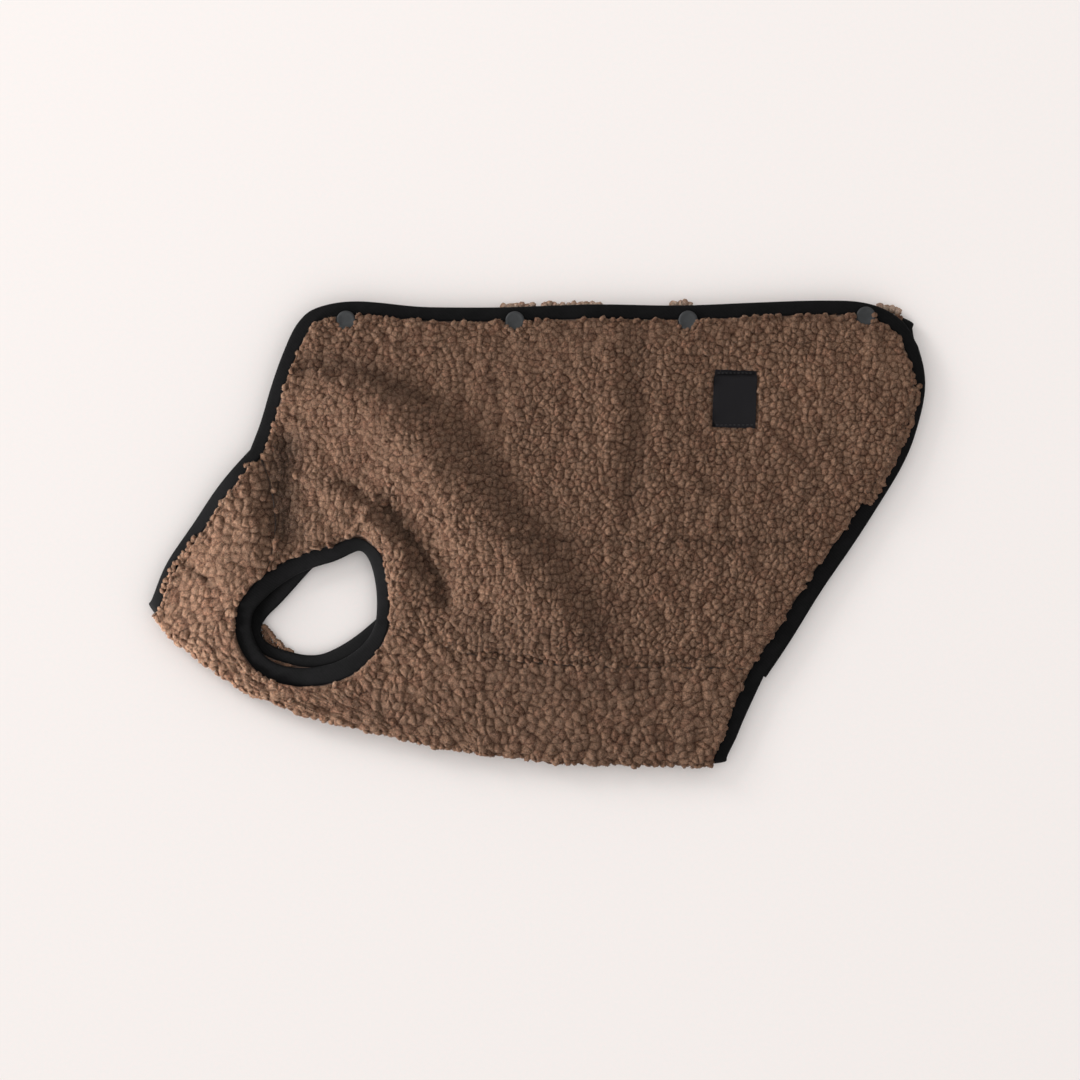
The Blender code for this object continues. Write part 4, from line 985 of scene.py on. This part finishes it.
tapeNodes = {
    "edge_tape_left": "edgeTapeLeft", "edge_tape_right": "edgeTapeRight", "hem_tape_left": "hemTapeLeft",
    "hem_tape_belly": "hemTapeBelly", "neck_tape_belly": "neckTapeBelly", "arm_tape_left": "armTapeLeft",
    "arm_tape_right": "armTapeRight",
}
tapePieces = {node: tapePiece(node, name) for node, name in tapeNodes.items()}


# label

label = {
    "smoothLevels": 4, "sharp": 50, "crease": 0.9,
    "endBand": 5.2 * mm, "pressed": 0.8 * mm, "narrowEnd": 0.93,  # its two folded ends
    "stitches": 9, "stitchLength": 2.0 * mm, "stitchThick": 0.42 * mm, "stitchLift": 0.05 * mm,
    "rowPlace": 0.42, "rowMargin": 4 * mm,
}


def labelPiece():
    piece = copyOfNode("woven_label", "wovenLabel")
    creaseSharp(piece, label["sharp"], label["crease"])
    smooth(piece, label["smoothLevels"])
    places = points(piece)
    low, high = places.min(axis=0), places.max(axis=0)
    fromEnd = np.minimum(high[1] - places[:, 1], places[:, 1] - low[1])
    press = np.clip(1 - (fromEnd - 0.75 * label["endBand"]) / (0.25 * label["endBand"]), 0, 1)
    press = press * press * (3 - 2 * press)
    places[:, 2] -= label["pressed"] * press * (places[:, 2] > (low[2] + high[2]) / 2)
    middle = (low[0] + high[0]) / 2
    nearTop = np.clip(1 - (high[1] - places[:, 1]) / label["endBand"], 0, 1) ** 0.7
    places[:, 0] = middle + (places[:, 0] - middle) * (1 - (1 - label["narrowEnd"]) * nearTop)
    setPoints(piece, places)
    bpy.ops.object.shade_smooth()
    return finishPiece(piece, labelCloth, "woven_label")


def labelStitches(piece, name, fromTop):
    places = points(piece)
    low, high = places.min(axis=0), places.max(axis=0)
    width = (high[0] - low[0]) * (label["narrowEnd"] if fromTop else 1.0) - label["rowMargin"]
    fromEnd = label["rowPlace"] * label["endBand"]
    along = high[1] - fromEnd if fromTop else low[1] + fromEnd
    near = places[np.abs(places[:, 1] - along) < 1.2 * mm]
    step = width / label["stitches"]
    bpy.ops.object.select_all(action="DESELECT")
    bpy.ops.mesh.primitive_uv_sphere_add(segments=8, ring_count=6, radius=1, location=(0, 0, 0))
    row = bpy.context.object
    row.name = row.data.name = name
    editAll(row)
    thick = label["stitchThick"] / 2
    bpy.ops.transform.resize(value=(label["stitchLength"] / 2, thick, thick))
    bpy.ops.transform.translate(value=((low[0] + high[0] - width + step) / 2, along,
                                       near[:, 2].max() + label["stitchLift"]))
    editDone()
    array = row.modifiers.new("row", "ARRAY")
    array.count, array.use_relative_offset, array.use_constant_offset = label["stitches"], False, True
    array.constant_offset_displace = (step, 0, 0)
    applyAll(row)
    putInOrder(row)
    bpy.ops.object.shade_smooth()
    return finishPiece(row, thread)


wovenLabel = labelPiece()
labelThreads = [labelStitches(wovenLabel, "labelStitchesTop", True),
                labelStitches(wovenLabel, "labelStitchesLow", False)]


# snap caps: a shallow turned disc with a soft rim

snapCap = {
    "steps": 40, "rimHeight": 0.55 * mm, "shadeAngle": 50,
    # how far each ring rises above the last, and how wide it is beside it
    "rings": ((0.35 * mm, 0.955), (0.2 * mm, 0.9), (0.02 * mm, 0.86), (-0.1 * mm, 0.93), (-0.03 * mm, 0.5)),
}


def capPiece(node, name):
    low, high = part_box(node)
    centre, radius = (low + high) / 2, (high.x - low.x) / 2
    bpy.ops.object.select_all(action="DESELECT")
    bpy.ops.mesh.primitive_circle_add(vertices=snapCap["steps"], radius=radius, fill_type="NGON",
                                      location=(centre.x, centre.y, low.z))
    cap = bpy.context.object
    cap.name = cap.data.name = name
    editAll(cap)
    body = high.z - low.z - snapCap["rimHeight"]
    bpy.ops.mesh.extrude_region_move(TRANSFORM_OT_translate={"value": (0, 0, body)})
    for rise, shrink in snapCap["rings"]:
        bpy.ops.mesh.extrude_region_move(TRANSFORM_OT_translate={"value": (0, 0, rise)})
        bpy.ops.transform.resize(value=(shrink, shrink, 1), center_override=(centre.x, centre.y, high.z))
    bpy.ops.mesh.select_all(action="SELECT")
    bpy.ops.mesh.normals_make_consistent(inside=False)
    editDone()
    pick(cap)
    bpy.ops.object.transform_apply(location=True, rotation=True, scale=True)
    putInOrder(cap)
    bpy.ops.object.shade_smooth_by_angle(angle=math.radians(snapCap["shadeAngle"]))
    finishPiece(cap, plastic, node)


for number in range(1, 5):
    capPiece(f"snap_cap_{number}", f"snapCap{number}")
    disc = nodes[f"snap_disc_{number}"]
    disc.data.materials.clear()
    disc.data.materials.append(plastic)
print("tapes, label and snaps ready")


# cloth facts

tapeSheets = {  # the strip that shows is 12 mm wide: its length, and what it lies on
    "edge_tape_left": (0.81, [sideLeftPile]), "edge_tape_right": (1.2, [sideRightPile, "floor"]),
    "hem_tape_left": (0.43, [sideLeftPile]), "hem_tape_belly": (0.21, [bellyPile]),
    "neck_tape_belly": (0.35, [bellyPile]), "arm_tape_left": (0.51, [sideLeftPile, bellyPile]),
    "arm_tape_right": (0.47, [sideRightPile, "floor"]),
}
for node, piece in tapePieces.items():
    length, below = tapeSheets[node]
    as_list(below)

coatOnly = bpy.data.collections.new("coatOnly")
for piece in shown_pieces():
    if piece.name != "floor":
        coatOnly.objects.link(piece)
for lamp in ("rake", "kick"):
    bpy.data.objects[lamp].light_linking.receiver_collection = coatOnly
